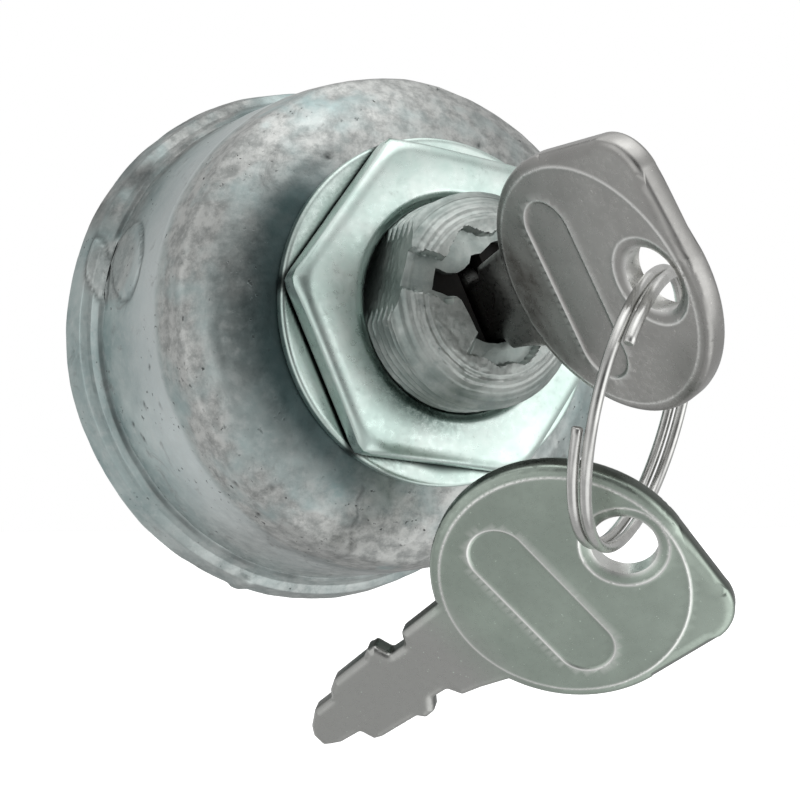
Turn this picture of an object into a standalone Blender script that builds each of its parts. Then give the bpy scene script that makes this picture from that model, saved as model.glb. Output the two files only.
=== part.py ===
"""Keyed rotary ignition switch with its two keys on a split ring.

The switch is built along its own axis: local +Z is forward, out of the stem, and local +Y is up.
One empty turns that frame so that the stem points along world -Y. The origin is on the axis, in
the plane of the seat that a panel bears on. The key stands in the RUN position.
"""
import math

import bmesh
import bpy
from mathutils import Euler, Matrix, Vector

MM = 0.001
CLEAR = 0.3 * MM          # running and seating gap between touching pieces

# Housing: one zinc die casting, cup and threaded stem
STEM_R = 7.62 * MM
STEM_LENGTH = 9.1 * MM
STEM_CHAMFER = 0.45 * MM
STEM_FLAT = 7.0 * MM      # flat's distance from the axis
SEAT_R = 13.2 * MM
DOME_R = 17.6 * MM
DOME_DROP = 2.5 * MM
SHOULDER_R = 19.95 * MM
SHOULDER_DROP = 7.2 * MM
BODY_REAR_R = 20.9 * MM
BODY_DEPTH = 18.7 * MM    # seat to the rim's front
RIM_R = 22.96 * MM
RIM_STEP = 0.9 * MM
RIM_WALL = 2.25 * MM
CRIMP = 0.8 * MM
CRIMP_HOLD = 0.9 * MM     # how far the rolled edge laps over the terminal base
WALL = 2.4 * MM
RECESS_R = 4.9 * MM       # counterbore in the stem's end
RECESS_DEPTH = 0.8 * MM
LIP = 0.9 * MM            # plate that holds the key in once it is turned
OPENING_R = 2.9 * MM
SWEEP_R = 3.3 * MM
WIDE_R = 3.9 * MM
RIM_CHANNEL = 2.8 * MM

# Angles about the axis, seen from the front, from +X towards +Z
OFF_ANGLE = 166.0
RUN_ANGLE = 116.3
START_ANGLE = 88.0
BIT_HALF_ANGLE = 22.0     # the key's cut edge as seen from the axis
NUT_ROLL = -5.3

# Rotor and what turns with it
ROTOR_R = 5.6 * MM
ROTOR_FLANGE_R = 8.5 * MM
ROTOR_FLANGE = 2.0 * MM
KEYWAY_HEIGHT = 9.4 * MM
LUG_R = 12.0 * MM
LUG_HALF_ANGLE = 12.0
LUG_ANGLE = 270.0         # middle of the rotor's lug at rest
BOSS_R = 4.6 * MM
BOSS_LENGTH = 6.0 * MM
DRIVE_R = 3.4 * MM
DRIVE_FLATS = 5.0 * MM
TAIL_R = 2.2 * MM
CARRIER_R = 15.0 * MM
CARRIER = 4.0 * MM
HUB_R = 8.2 * MM
BRIDGE_OUTER_R = 14.2 * MM
BRIDGE = 1.0 * MM
BRIDGE_GAP = 0.5 * MM     # from the hub to the bridges
BRIDGE_SPAN = 100.0
BRIDGE_SPRING_R = 2.0 * MM
BRIDGE_SPRING_WIRE = 0.5 * MM
BALL_R = 1.5 * MM
BALL_CIRCLE_R = 5.6 * MM
BRIDGE_ANGLES = (90, 270)
BALL_ANGLES = (0, 180)

# Terminal base
BASE = 2.75 * MM
CONTACT_HEAD_R = 2.6 * MM
CONTACT_HEAD = 1.2 * MM
CONTACT_SHANK_R = 1.5 * MM
CONTACT_CIRCLE_R = 11.2 * MM
TERMINAL_COUNT = 5
TERMINAL_WIDTH = 6.35 * MM
TERMINAL_SHEET = 0.8 * MM
TERMINAL_FOOT = 7.2 * MM
TERMINAL_LENGTH = 9.6 * MM
TERMINAL_HOLE_R = 0.9 * MM

# Nut and washer
NUT_WALL = 3.8 * MM       # from the bore to the flats
NUT = 2.4 * MM
NUT_CHAMFER = 0.5 * MM
WASHER_EDGE = 1.65 * MM   # beyond the nut's flats
WASHER = 1.05 * MM
THREAD_CLEAR = 0.33 * MM

# Return spring
SPRING_WIRE = 0.9 * MM
SPRING_TURNS = 3.25
SPRING_LEG = 4.2 * MM

# Keys
KEY = 1.8 * MM
KEY_HEAD_R = 9.2 * MM
KEY_HEAD_OUT = 2.2 * MM   # head's centre beyond the label groove's centre
KEY_NOSE_R = 3.0 * MM
KEY_NOSE_OUT = 7.8 * MM
KEY_NOSE_SIDE = 6.2 * MM
KEY_HOLE_R = 2.2 * MM
KEY_HOLE_OUT = 7.6 * MM
KEY_EDGE = 0.35 * MM
KEY_STAND_OFF = 10.0 * MM  # label groove's centre beyond the stem's end
KEY_DROOP = 2.4
KEY_PIVOT = 2.0 * MM      # the key's heel rests in the keyway here
KEYWAY_SIDE = 0.25 * MM
BLADE_TIP = 22.3 * MM
BLADE_SINK = 4.0 * MM     # the blade's solid reaches this far into the head's
# Edges of the blade: (distance from the label groove's centre, half width), root to tip
PLAIN_EDGE = [(7.2, 3.9), (9.9, 3.7), (10.45, 2.8), (12.0, 2.8), (12.4, 4.0), (13.1, 4.1),
              (13.7, 3.8), (17.2, 3.6), (18.1, 3.1), (18.5, 2.6), (20.5, 2.5), (21.8, 1.6)]
CUT_EDGE = [(7.2, 3.7), (8.4, 3.1), (10.0, 2.8), (10.6, 1.8), (12.0, 1.75), (12.8, 2.7),
            (13.7, 2.8), (14.2, 2.3), (17.8, 2.2), (18.5, 2.0), (18.9, 0.9), (20.9, 0.8),
            (21.7, 0.5)]

# Split ring, two turns of wire, and how it and the spare key hang
RING_R = 8.96 * MM
RING_WIRE_R = 0.36 * MM
RING_PITCH = 0.84 * MM
RING_AZIMUTH = -52.3
RING_TILT = -15.1
RING_HANG = -28.0
RING_SAG = 0.47 * MM      # the wire rests this far below the middle of the first key's hole
RING_SLIDE = -0.38 * MM
SPARE_ALONG_RING = -21.0
SPARE_SAG = 0.38 * MM     # the spare key's hole hangs this far below the ring's wire
SPARE_SLIDE = 0.1 * MM
RING_END = 12.5           # where the outer turn's cut end lies
RING_TURNS = 1.9
RING_STEPS = 36
SPARE_TURN = Euler([math.radians(a) for a in (-52.9, -30.5, -64.9)])

STEPS = 72                # facets round the large turned pieces
FINE_STEPS = 32
TINY = 0.00001

# Stations along the axis, all from the values above
lip_front = STEM_LENGTH - RECESS_DEPTH
lip_rear = lip_front - LIP
rotor_front = lip_rear - CLEAR
inner_front = -WALL
flange_front = inner_front - CLEAR
flange_rear = flange_front - ROTOR_FLANGE
boss_rear = flange_rear - BOSS_LENGTH
carrier_front = boss_rear - CLEAR
carrier_rear = carrier_front - CARRIER
ledge = -BODY_DEPTH
base_front = ledge - CLEAR
base_rear = base_front - BASE
rim_rear = base_rear - CLEAR
crimp_rear = rim_rear - CRIMP
contact_front = base_front + CLEAR + CONTACT_HEAD
bridge_rear = contact_front + CLEAR
bridge_front = bridge_rear + BRIDGE
hub_rear = base_front + 1.0 * MM
ball_z = base_front + BALL_R + 0.1 * MM
key_z = STEM_LENGTH + KEY_STAND_OFF
keyway_width = KEY + 2 * KEYWAY_SIDE
keyway_floor = key_z - BLADE_TIP - 2 * CLEAR
base_r = RIM_R - RIM_WALL - CLEAR
bore_r = ROTOR_R + CLEAR
to_off = OFF_ANGLE - RUN_ANGLE
to_start = START_ANGLE - RUN_ANGLE
run_turn = math.radians(RUN_ANGLE - 90.0)
lug_sweep = (LUG_ANGLE + to_start - LUG_HALF_ANGLE, LUG_ANGLE + to_off + LUG_HALF_ANGLE)
bridge_spring_front = carrier_rear + 2.7 * MM
ball_spring_front = hub_rear + 4.2 * MM
TERMINAL_ANGLES = [54 + 360 * i / TERMINAL_COUNT for i in range(TERMINAL_COUNT)]


def clear_scene():
    for obj in list(bpy.data.objects):
        bpy.data.objects.remove(obj, do_unlink=True)


def collection(name):
    col = bpy.data.collections.new(name)
    bpy.context.scene.collection.children.link(col)
    return col


clear_scene()
PARTS = collection("ignition_switch")
CUTTERS = collection("cutters")


def empty(name, parent=None, matrix=None):
    obj = bpy.data.objects.new(name, None)
    PARTS.objects.link(obj)
    obj.parent = parent
    if matrix is not None:
        obj.matrix_local = matrix
    return obj


AXIS = empty("switch_axis", matrix=Matrix.Rotation(math.radians(90), 4, "X"))
ROTOR_AXIS = empty("rotor_axis", AXIS, Matrix.Rotation(run_turn, 4, "Z"))


# Looks: colour, roughness, metallic
ZINC = ((0.52, 0.55, 0.53), 0.42, 0.9)
NUT_METAL = ((0.70, 0.78, 0.74), 0.25, 1.0)
KEY_METAL = ((0.45, 0.46, 0.43), 0.3, 1.0)
STEEL = ((0.62, 0.62, 0.60), 0.25, 1.0)
BRASS = ((0.72, 0.55, 0.25), 0.35, 1.0)
PHENOLIC = ((0.03, 0.03, 0.03), 0.5, 0.0)


def material(name, look):
    colour, roughness, metallic = look
    mat = bpy.data.materials.new(name)
    mat.use_nodes = True
    shader = mat.node_tree.nodes["Principled BSDF"]
    shader.inputs["Base Color"].default_value = (*colour, 1.0)
    shader.inputs["Roughness"].default_value = roughness
    shader.inputs["Metallic"].default_value = metallic
    return mat


def link(obj, look, parent=AXIS):
    PARTS.objects.link(obj)
    obj.parent = parent
    obj.data.materials.append(material(obj.name, look))
    obj.data.shade_smooth()
    obj.data.set_sharp_from_angle(angle=math.radians(35))
    return obj


def as_cutter(obj, parent=AXIS):
    CUTTERS.objects.link(obj)
    obj.parent = parent
    obj.hide_render = True
    obj.display_type = "WIRE"
    return obj


def turned(name, profile, steps, closed=False):
    """A solid of revolution about Z. The profile (r, z) runs down its outer side."""
    mesh = bpy.data.meshes.new(name)
    count = len(profile)
    edges = [(i, i + 1) for i in range(count - 1)]
    if closed:
        edges.append((count - 1, 0))
    mesh.from_pydata([(r, 0, z) for r, z in profile], edges, [])
    obj = bpy.data.objects.new(name, mesh)
    screw = obj.modifiers.new("turn", "SCREW")
    screw.axis = "Z"
    screw.angle = math.tau
    screw.steps = steps
    screw.render_steps = steps
    screw.use_merge_vertices = True
    screw.merge_threshold = TINY
    return obj


def rod(name, radius, low, high, steps=FINE_STEPS):
    return turned(name, [(0, high), (radius, high), (radius, low), (0, low)], steps)


def plate(name, outline, thickness, holes=(), edge=0.0):
    """A flat plate in XY, centred on Z, with the given outline, holes and edge chamfer."""
    curve = bpy.data.curves.new(name, "CURVE")
    curve.dimensions = "2D"
    curve.fill_mode = "BOTH"
    curve.extrude = thickness / 2 - edge
    curve.bevel_depth = edge
    curve.bevel_resolution = 0
    curve.offset = -edge
    for loop in (outline, *holes):
        spline = curve.splines.new("POLY")
        spline.points.add(len(loop) - 1)
        for point, (x, y) in zip(spline.points, loop):
            point.co = (x, y, 0, 1)
        spline.use_cyclic_u = True
    return solid_from(curve, name)


def solid_from(curve, name):
    """The closed mesh of a curve, with its caps welded on."""
    guide = bpy.data.objects.new(name + "_guide", curve)
    CUTTERS.objects.link(guide)
    bpy.context.view_layer.update()
    evaluated = guide.evaluated_get(bpy.context.evaluated_depsgraph_get())
    mesh = bpy.data.meshes.new_from_object(evaluated)
    mesh.name = name
    bpy.data.objects.remove(guide, do_unlink=True)
    work = bmesh.new()
    work.from_mesh(mesh)
    bmesh.ops.remove_doubles(work, verts=work.verts, dist=TINY / 10)
    bmesh.ops.recalc_face_normals(work, faces=work.faces)
    work.to_mesh(mesh)
    work.free()
    return bpy.data.objects.new(name, mesh)


def wire(name, points, radius):
    """A round wire through the points, with flat ends."""
    curve = bpy.data.curves.new(name, "CURVE")
    curve.dimensions = "3D"
    curve.bevel_depth = radius
    curve.bevel_resolution = 2
    curve.use_fill_caps = True
    spline = curve.splines.new("POLY")
    spline.points.add(len(points) - 1)
    for point, co in zip(spline.points, points):
        point.co = (*co, 1)
    return solid_from(curve, name)


def block(name, size, centre):
    mesh = bpy.data.meshes.new(name)
    work = bmesh.new()
    bmesh.ops.create_cube(work, size=1.0)
    bmesh.ops.scale(work, verts=work.verts, vec=size)
    bmesh.ops.translate(work, verts=work.verts, vec=centre)
    work.to_mesh(mesh)
    work.free()
    return bpy.data.objects.new(name, mesh)


def ball(name, radius, centre, segments=16):
    mesh = bpy.data.meshes.new(name)
    work = bmesh.new()
    bmesh.ops.create_uvsphere(work, u_segments=segments, v_segments=segments // 2, radius=radius)
    bmesh.ops.translate(work, verts=work.verts, vec=centre)
    work.to_mesh(mesh)
    work.free()
    return bpy.data.objects.new(name, mesh)


def cut(obj, cutter, operation="DIFFERENCE", parent=AXIS):
    if cutter.name not in CUTTERS.objects:
        as_cutter(cutter, parent)
    boolean = obj.modifiers.new(operation.lower(), "BOOLEAN")
    boolean.operation = operation
    boolean.solver = "EXACT"
    boolean.object = cutter


def turn_z(obj, degrees, shift=(0, 0, 0)):
    obj.matrix_local = Matrix.Rotation(math.radians(degrees), 4, "Z") @ Matrix.Translation(shift)


def arc(centre, radius, start, end, count):
    """Points on an arc from start to end, in degrees."""
    angles = [math.radians(start + (end - start) * i / count) for i in range(count + 1)]
    return [(centre[0] + radius * math.cos(a), centre[1] + radius * math.sin(a)) for a in angles]


def sector(name, inner, outer, start, end, low, high):
    """A ring sector about Z between two heights."""
    count = max(2, round(abs(end - start) / 7.5))
    outline = arc((0, 0), outer, start, end, count)
    if inner > 0:
        outline += arc((0, 0), inner, end, start, count)
    else:
        outline.append((0, 0))
    obj = plate(name, outline, high - low)
    obj.data.transform(Matrix.Translation((0, 0, (low + high) / 2)))
    return obj


def coil(radius, low, high, turns, per_turn=14):
    count = round(turns * per_turn)
    points = []
    for i in range(count + 1):
        a = math.tau * turns * i / count
        points.append(Vector((radius * math.cos(a), radius * math.sin(a), low + (high - low) * i / count)))
    return points


def housing_profile():
    """Outer side from the stem's end down to the rolled edge, then back up inside."""
    dome = [(SEAT_R + (DOME_R - SEAT_R) * t, -DOME_DROP * t ** 1.5) for t in (0.2, 0.6, 1.0)]
    shoulder = []
    for i in range(1, 6):
        a = math.radians(90 * i / 5)
        shoulder.append((DOME_R + (SHOULDER_R - DOME_R) * math.sin(a),
                         -SHOULDER_DROP + (SHOULDER_DROP - DOME_DROP) * math.cos(a)))
    outside = [(STEM_R - STEM_CHAMFER, STEM_LENGTH), (STEM_R, STEM_LENGTH - STEM_CHAMFER),
               (STEM_R, 0), (SEAT_R, 0), *dome, *shoulder,
               (BODY_REAR_R, ledge), (BODY_REAR_R + RIM_STEP, ledge - 0.15 * RIM_STEP),
               (RIM_R - 0.4 * RIM_STEP, ledge - RIM_STEP), (RIM_R, rim_rear),
               (RIM_R - CRIMP, crimp_rear)]
    lip_r = base_r - CRIMP_HOLD
    recess_r = base_r + CLEAR
    inside = [(lip_r, crimp_rear), (lip_r, rim_rear), (recess_r, rim_rear), (recess_r, ledge),
              (BODY_REAR_R - WALL, ledge), (SHOULDER_R - WALL, -SHOULDER_DROP),
              (DOME_R - WALL / 2, -DOME_DROP - WALL), (SEAT_R + WALL / 2, inner_front),
              (bore_r, inner_front), (bore_r, lip_rear), (OPENING_R, lip_rear),
              (OPENING_R, lip_front), (RECESS_R, lip_front), (RECESS_R, STEM_LENGTH)]
    return outside + inside


def make_housing():
    housing = link(turned("housing", housing_profile(), STEPS, closed=True), ZINC)
    through = 2 * LIP
    flat = block("stem_flat", (2 * STEM_R, 2 * STEM_R, STEM_LENGTH),
                 (STEM_FLAT + STEM_R, 0, STEM_LENGTH / 2 + TINY + WASHER + CLEAR))
    cut(housing, flat)
    turn_z(flat, OFF_ANGLE)
    slot = block("key_slot", (2 * RECESS_R, keyway_width, through),
                 (0, 0, lip_rear + LIP / 2))
    cut(housing, slot)
    turn_z(slot, OFF_ANGLE)
    channel = block("rim_channel", (2 * STEM_R, RIM_CHANNEL, 2 * RECESS_DEPTH),
                    (RECESS_R - LIP + STEM_R, 0, lip_front + RECESS_DEPTH))
    cut(housing, channel)
    turn_z(channel, OFF_ANGLE)
    low, high = lip_rear - LIP / 2, lip_front + LIP / 2
    start_edge, off_edge = START_ANGLE - 180 - BIT_HALF_ANGLE, OFF_ANGLE - 180 + BIT_HALF_ANGLE
    cut(housing, sector("cut_edge_sweep", 0, SWEEP_R, start_edge, off_edge, low, high))
    cut(housing, sector("hand_side_sweep", 0, WIDE_R, -4, 92, low, high))
    for name, start in (("off_stop", lug_sweep[1] + 1), ("start_stop", lug_sweep[0] - 13)):
        stop = sector(name, ROTOR_FLANGE_R + 2 * CLEAR, SEAT_R + WALL / 2, start, start + 12,
                      flange_rear - CLEAR, inner_front + WALL / 4)
        cut(housing, stop, "UNION")
    return housing


def make_rotor():
    drive_rear = hub_rear
    tail_rear = base_rear
    edge = CLEAR
    profile = [(0, rotor_front), (ROTOR_R - edge, rotor_front), (ROTOR_R, rotor_front - edge),
               (ROTOR_R, flange_front), (ROTOR_FLANGE_R, flange_front),
               (ROTOR_FLANGE_R, flange_rear), (BOSS_R, flange_rear), (BOSS_R, boss_rear),
               (DRIVE_R, boss_rear), (DRIVE_R, drive_rear), (TAIL_R, drive_rear),
               (TAIL_R, tail_rear), (0, tail_rear)]
    rotor = link(turned("rotor", profile, 48), ZINC, ROTOR_AXIS)
    depth = rotor_front - keyway_floor
    keyway = block("keyway", (keyway_width, KEYWAY_HEIGHT, 2 * depth),
                   (0, 0, keyway_floor + depth))
    cut(rotor, keyway, parent=ROTOR_AXIS)
    drive = boss_rear - drive_rear
    for side in (-1, 1):
        flat = block("drive_flat", (DRIVE_R, 4 * DRIVE_R, drive),
                     (side * (DRIVE_FLATS + DRIVE_R) / 2, 0, boss_rear - drive / 2 - TINY))
        cut(rotor, flat, parent=ROTOR_AXIS)
    lug_turn = LUG_ANGLE - math.degrees(run_turn)
    lug = sector("stop_lug", ROTOR_FLANGE_R - 1 * MM, LUG_R, lug_turn - LUG_HALF_ANGLE,
                 lug_turn + LUG_HALF_ANGLE, flange_rear + TINY, flange_front - TINY)
    cut(rotor, lug, "UNION", ROTOR_AXIS)
    return rotor


def double_d(radius, flats):
    """A round outline with two flats, across X."""
    a = math.degrees(math.acos(flats / 2 / radius))
    return arc((0, 0), radius, a, 180 - a, 8) + arc((0, 0), radius, 180 + a, 360 - a, 8)


def make_carrier():
    profile = [(0, carrier_front), (CARRIER_R, carrier_front), (CARRIER_R, carrier_rear),
               (HUB_R, carrier_rear), (HUB_R, hub_rear), (0, hub_rear)]
    carrier = link(turned("contact_carrier", profile, 48), PHENOLIC, ROTOR_AXIS)
    span = carrier_front - hub_rear
    hole = plate("drive_hole", double_d(DRIVE_R + CLEAR, DRIVE_FLATS + 2 * CLEAR), 2 * span)
    hole.data.transform(Matrix.Translation((0, 0, hub_rear + span / 2)))
    cut(carrier, hole, parent=ROTOR_AXIS)
    pocket_r = BRIDGE_SPRING_R + BRIDGE_SPRING_WIRE / 2 + CLEAR
    for angle in BRIDGE_ANGLES:
        pocket = rod("spring_pocket", pocket_r, carrier_rear - CLEAR, bridge_spring_front + CLEAR, 20)
        cut(carrier, pocket, parent=ROTOR_AXIS)
        turn_z(pocket, angle, (CONTACT_CIRCLE_R, 0, 0))
    for angle in BALL_ANGLES:
        pocket = rod("ball_pocket", BALL_R + CLEAR, hub_rear - CLEAR, ball_spring_front + CLEAR, 20)
        cut(carrier, pocket, parent=ROTOR_AXIS)
        turn_z(pocket, angle, (BALL_CIRCLE_R, 0, 0))


def make_contacts():
    """Bridges, detents and their springs, which turn with the carrier."""
    half = BRIDGE_SPAN / 2
    for side, angle in zip("ab", BRIDGE_ANGLES):
        bridge = sector(f"contact_bridge_{side}", HUB_R + BRIDGE_GAP, BRIDGE_OUTER_R,
                        angle - half, angle + half, bridge_rear, bridge_front)
        link(bridge, BRASS, ROTOR_AXIS)
        low = bridge_front + CLEAR + BRIDGE_SPRING_WIRE / 2
        high = bridge_spring_front - BRIDGE_SPRING_WIRE / 2
        path = coil(BRIDGE_SPRING_R, low, high, 3)
        spring = link(wire(f"bridge_spring_{side}", path, BRIDGE_SPRING_WIRE / 2), STEEL, ROTOR_AXIS)
        turn_z(spring, angle, (CONTACT_CIRCLE_R, 0, 0))
    for side, angle in zip("ab", BALL_ANGLES):
        steel_ball = link(ball(f"detent_ball_{side}", BALL_R, (0, 0, ball_z)), STEEL, ROTOR_AXIS)
        turn_z(steel_ball, angle, (BALL_CIRCLE_R, 0, 0))
        wire_r = 0.2 * MM
        path = coil(BALL_R - 2 * wire_r, ball_z + BALL_R + CLEAR, ball_spring_front - wire_r, 3)
        spring = link(wire(f"detent_spring_{side}", path, wire_r), STEEL, ROTOR_AXIS)
        turn_z(spring, angle, (BALL_CIRCLE_R, 0, 0))


def make_return_spring():
    """Torsion spring on the rotor's boss; one leg bears on the housing, one on the lug."""
    radius = BOSS_R + CLEAR + SPRING_WIRE / 2
    low = boss_rear + CLEAR + SPRING_WIRE / 2
    high = flange_rear - CLEAR - SPRING_WIRE / 2
    path = coil(radius, low, high, SPRING_TURNS)
    leg = path[0] + Vector((0, -SPRING_LEG, 0))
    end = math.tau * SPRING_TURNS
    tail = path[-1] + SPRING_LEG * Vector((-math.sin(end), math.cos(end), 0))
    spring = link(wire("return_spring", [leg, *path, tail], SPRING_WIRE / 2), STEEL)
    turn_z(spring, LUG_ANGLE)


def make_base():
    profile = [(TAIL_R + CLEAR, base_front), (base_r, base_front), (base_r, base_rear),
               (TAIL_R + CLEAR, base_rear)]
    base = link(turned("terminal_base", profile, STEPS, closed=True), PHENOLIC)
    for angle in TERMINAL_ANGLES:
        hole = rod("rivet_hole", CONTACT_SHANK_R + CLEAR, base_rear - BASE, base_front + BASE, 20)
        cut(base, hole)
        turn_z(hole, angle, (CONTACT_CIRCLE_R, 0, 0))
    for position in (0, to_off, to_start):
        for angle in BALL_ANGLES:
            dimple = ball("detent_dimple", BALL_R + CLEAR, (0, 0, ball_z), 14)
            cut(base, dimple)
            turn_z(dimple, math.degrees(run_turn) + position + angle, (BALL_CIRCLE_R, 0, 0))


def terminal_mesh(name):
    """A foot under the base and a blade bent back from its outer end, in the XZ plane."""
    top = base_rear - CLEAR
    under = top - TERMINAL_SHEET
    inner = -TERMINAL_FOOT / 2
    outer = TERMINAL_FOOT / 2
    face = outer - TERMINAL_SHEET
    end = top - TERMINAL_LENGTH
    lead = 0.25 * TERMINAL_SHEET
    outline = [(inner, top), (inner, under), (face, under), (face, end + lead),
               (face + lead, end), (outer - lead, end), (outer, end + lead), (outer, top)]
    blade = plate(name, outline, TERMINAL_WIDTH)
    blade.data.transform(Matrix.Rotation(math.radians(90), 4, "X"))
    return blade


def make_terminals():
    top = base_rear - CLEAR
    under = top - TERMINAL_SHEET
    tail_r = CONTACT_HEAD_R - CLEAR
    profile = [(0, contact_front), (CONTACT_HEAD_R, contact_front),
               (CONTACT_HEAD_R, base_front + CLEAR), (CONTACT_SHANK_R, base_front + CLEAR),
               (CONTACT_SHANK_R, under - CLEAR), (tail_r, under - CLEAR),
               (tail_r, under - CLEAR - TERMINAL_SHEET), (0, under - CLEAR - TERMINAL_SHEET)]
    for number, angle in enumerate(TERMINAL_ANGLES, 1):
        blade = link(terminal_mesh(f"blade_terminal_{number}"), BRASS)
        turn_z(blade, angle, (CONTACT_CIRCLE_R, 0, 0))
        hole = rod("foot_hole", CONTACT_SHANK_R + CLEAR, under - TERMINAL_SHEET, base_rear, 20)
        cut(blade, hole)
        turn_z(hole, angle, (CONTACT_CIRCLE_R, 0, 0))
        catch = rod("catch_hole", TERMINAL_HOLE_R, -TERMINAL_FOOT, TERMINAL_FOOT, 12)
        cut(blade, catch)
        across = Matrix.Rotation(math.radians(90), 4, "Y")
        drop = Matrix.Translation((CONTACT_CIRCLE_R + TERMINAL_FOOT / 2, 0, top - 0.68 * TERMINAL_LENGTH))
        catch.matrix_local = Matrix.Rotation(math.radians(angle), 4, "Z") @ drop @ across
        rivet = link(turned(f"contact_rivet_{number}", profile, 20), BRASS)
        turn_z(rivet, angle, (CONTACT_CIRCLE_R, 0, 0))


def make_nut():
    """A thin stamped hexagon nut with its corners chamfered, and the washer behind it."""
    washer_front = CLEAR + WASHER
    rear = washer_front + CLEAR
    front = rear + NUT
    bore = STEM_R + THREAD_CLEAR
    to_flat = bore + NUT_WALL
    corner = 2 * to_flat / math.sqrt(3)
    hexagon = arc((0, 0), corner, 180 + NUT_ROLL, 180 + NUT_ROLL + 300, 5)
    nut = plate("hex_nut", hexagon, NUT)
    nut.data.transform(Matrix.Translation((0, 0, rear + NUT / 2)))
    link(nut, NUT_METAL)
    drop = NUT_CHAMFER / math.sqrt(3)
    rounded = [(0, front + TINY), (corner - 2 * NUT_CHAMFER, front + TINY), (corner, front - drop * 2),
               (corner + MM, front - 2 * drop), (corner + MM, rear - MM), (0, rear - MM)]
    cut(nut, turned("corner_chamfer", rounded, 48), "INTERSECT")
    cut(nut, rod("nut_bore", bore, rear - MM, front + MM, 48))
    washer_r = to_flat + WASHER_EDGE
    profile = [(bore, washer_front), (washer_r - CLEAR, washer_front),
               (washer_r, washer_front - CLEAR), (washer_r, CLEAR), (bore, CLEAR)]
    link(turned("washer", profile, 64, closed=True), NUT_METAL)


def key_head_outline():
    """The hull of the head's disc and of the nose that bulges to one side."""
    disc = (KEY_HEAD_OUT, 0)
    nose = (KEY_NOSE_OUT, KEY_NOSE_SIDE)
    reach = math.dist(disc, nose)
    lean = math.degrees(math.atan2(nose[1] - disc[1], nose[0] - disc[0]))
    spread = math.degrees(math.acos((KEY_HEAD_R - KEY_NOSE_R) / reach))
    return (arc(disc, KEY_HEAD_R, lean + spread, lean + 360 - spread, 40)
            + arc(nose, KEY_NOSE_R, lean - spread, lean + spread, 8))


def make_key(name, parent):
    """Local X runs out of the lock along the key, Y across it, towards the nose."""
    hole = arc((KEY_HOLE_OUT, 0), KEY_HOLE_R, 0, 345, 23)
    key = link(plate(name, key_head_outline(), KEY, [hole], KEY_EDGE), KEY_METAL, parent)
    inside_head = KEY_HEAD_OUT - KEY_HEAD_R + BLADE_SINK
    plain = [(-out * MM, -half * MM) for out, half in PLAIN_EDGE]
    bitted = [(-out * MM, half * MM) for out, half in CUT_EDGE]
    outline = [(inside_head, plain[0][1]), *plain, (-BLADE_TIP, plain[-1][1] / 3),
               *reversed(bitted), (inside_head, bitted[0][1])]
    blade = plate(name + "_blade", outline, KEY - 2 * TINY)
    cut(key, blade, "UNION", parent)
    return key


def key_place():
    """The first key's frame in the rotor's frame: it stands in the keyway and droops in it."""
    along = Matrix(((0, 0, -1, 0), (0, 1, 0, 0), (1, 0, 0, 0), (0, 0, 0, 1)))
    pivot = Vector((0, 0, KEY_PIVOT))
    droop = Matrix.Rotation(math.radians(KEY_DROOP), 4, "X")
    stand = Matrix.Translation((0, 0, key_z)) @ along
    return Matrix.Translation(pivot) @ droop @ Matrix.Translation(-pivot) @ stand


def ring_frame():
    """The split ring's own axes in world space: X and Y in its plane, Z towards the viewer."""
    azimuth, tilt = math.radians(RING_AZIMUTH), math.radians(RING_TILT)
    normal = Vector((math.cos(azimuth) * math.cos(tilt), math.sin(azimuth) * math.cos(tilt),
                     math.sin(tilt)))
    level = normal.cross(Vector((0, 0, 1))).normalized()
    down = normal.cross(level)
    return Matrix((level, down, normal)).transposed()


def around_ring(degrees):
    """From the ring's centre to its wire, at an angle from its lowest point, in its own axes."""
    a = math.radians(degrees)
    return Vector((RING_R * math.sin(a), RING_R * math.cos(a), 0))


def make_keys():
    hole = Vector((KEY_HOLE_OUT, 0, 0))
    rotor_world = Matrix.Rotation(math.radians(90), 4, "X") @ Matrix.Rotation(run_turn, 4, "Z")
    key_frame = empty("key_frame", ROTOR_AXIS, key_place())
    make_key("ignition_key", key_frame)
    ring_joint = empty("ring_joint", key_frame, Matrix.Translation(hole))
    joint_world = rotor_world @ key_place() @ Matrix.Translation(hole)

    turn = ring_frame()
    first_hole = joint_world.translation
    rest = around_ring(RING_HANG) * (1 + RING_SAG / RING_R) + Vector((0, 0, RING_SLIDE))
    centre = first_hole + turn @ rest
    start = math.radians(RING_END)
    path = []
    count = round(RING_TURNS * RING_STEPS)
    for i in range(count + 1):
        a = start + math.tau * RING_TURNS * i / count
        rise = RING_PITCH * (RING_TURNS * i / count - RING_TURNS / 2)
        path.append(Vector((RING_R * math.cos(a), RING_R * math.sin(a), rise)))
    ring = link(wire("split_ring", path, RING_WIRE_R), STEEL, ring_joint)
    ring_world = Matrix.Translation(centre) @ turn.to_4x4()
    ring.matrix_local = joint_world.inverted() @ ring_world

    second_hole = centre + turn @ around_ring(SPARE_ALONG_RING)
    spare_world = (Matrix.Translation(second_hole) @ SPARE_TURN.to_matrix().to_4x4())
    spare_joint = empty("spare_joint", ring_joint, joint_world.inverted() @ spare_world)
    spare = make_key("spare_key", spare_joint)
    hang = Matrix.Translation(Vector((SPARE_SLIDE, SPARE_SAG, 0)) - hole)
    for piece in (spare, *[mod.object for mod in spare.modifiers]):
        piece.matrix_local = hang


make_housing()
make_rotor()
make_return_spring()
make_carrier()
make_contacts()
make_base()
make_terminals()
make_nut()
make_keys()
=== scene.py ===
"""Looks for the keyed ignition switch.

Millimetres in the switch's own frame: x to the right and z up as in the world, f forward along the
stem, which is the world's -Y. Angles about the axis run from +x towards +z.
"""
import math

import bmesh
import bpy
import numpy as np
from mathutils import Euler, Matrix, Vector, noise
from mathutils.geometry import delaunay_2d_cdt

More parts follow.
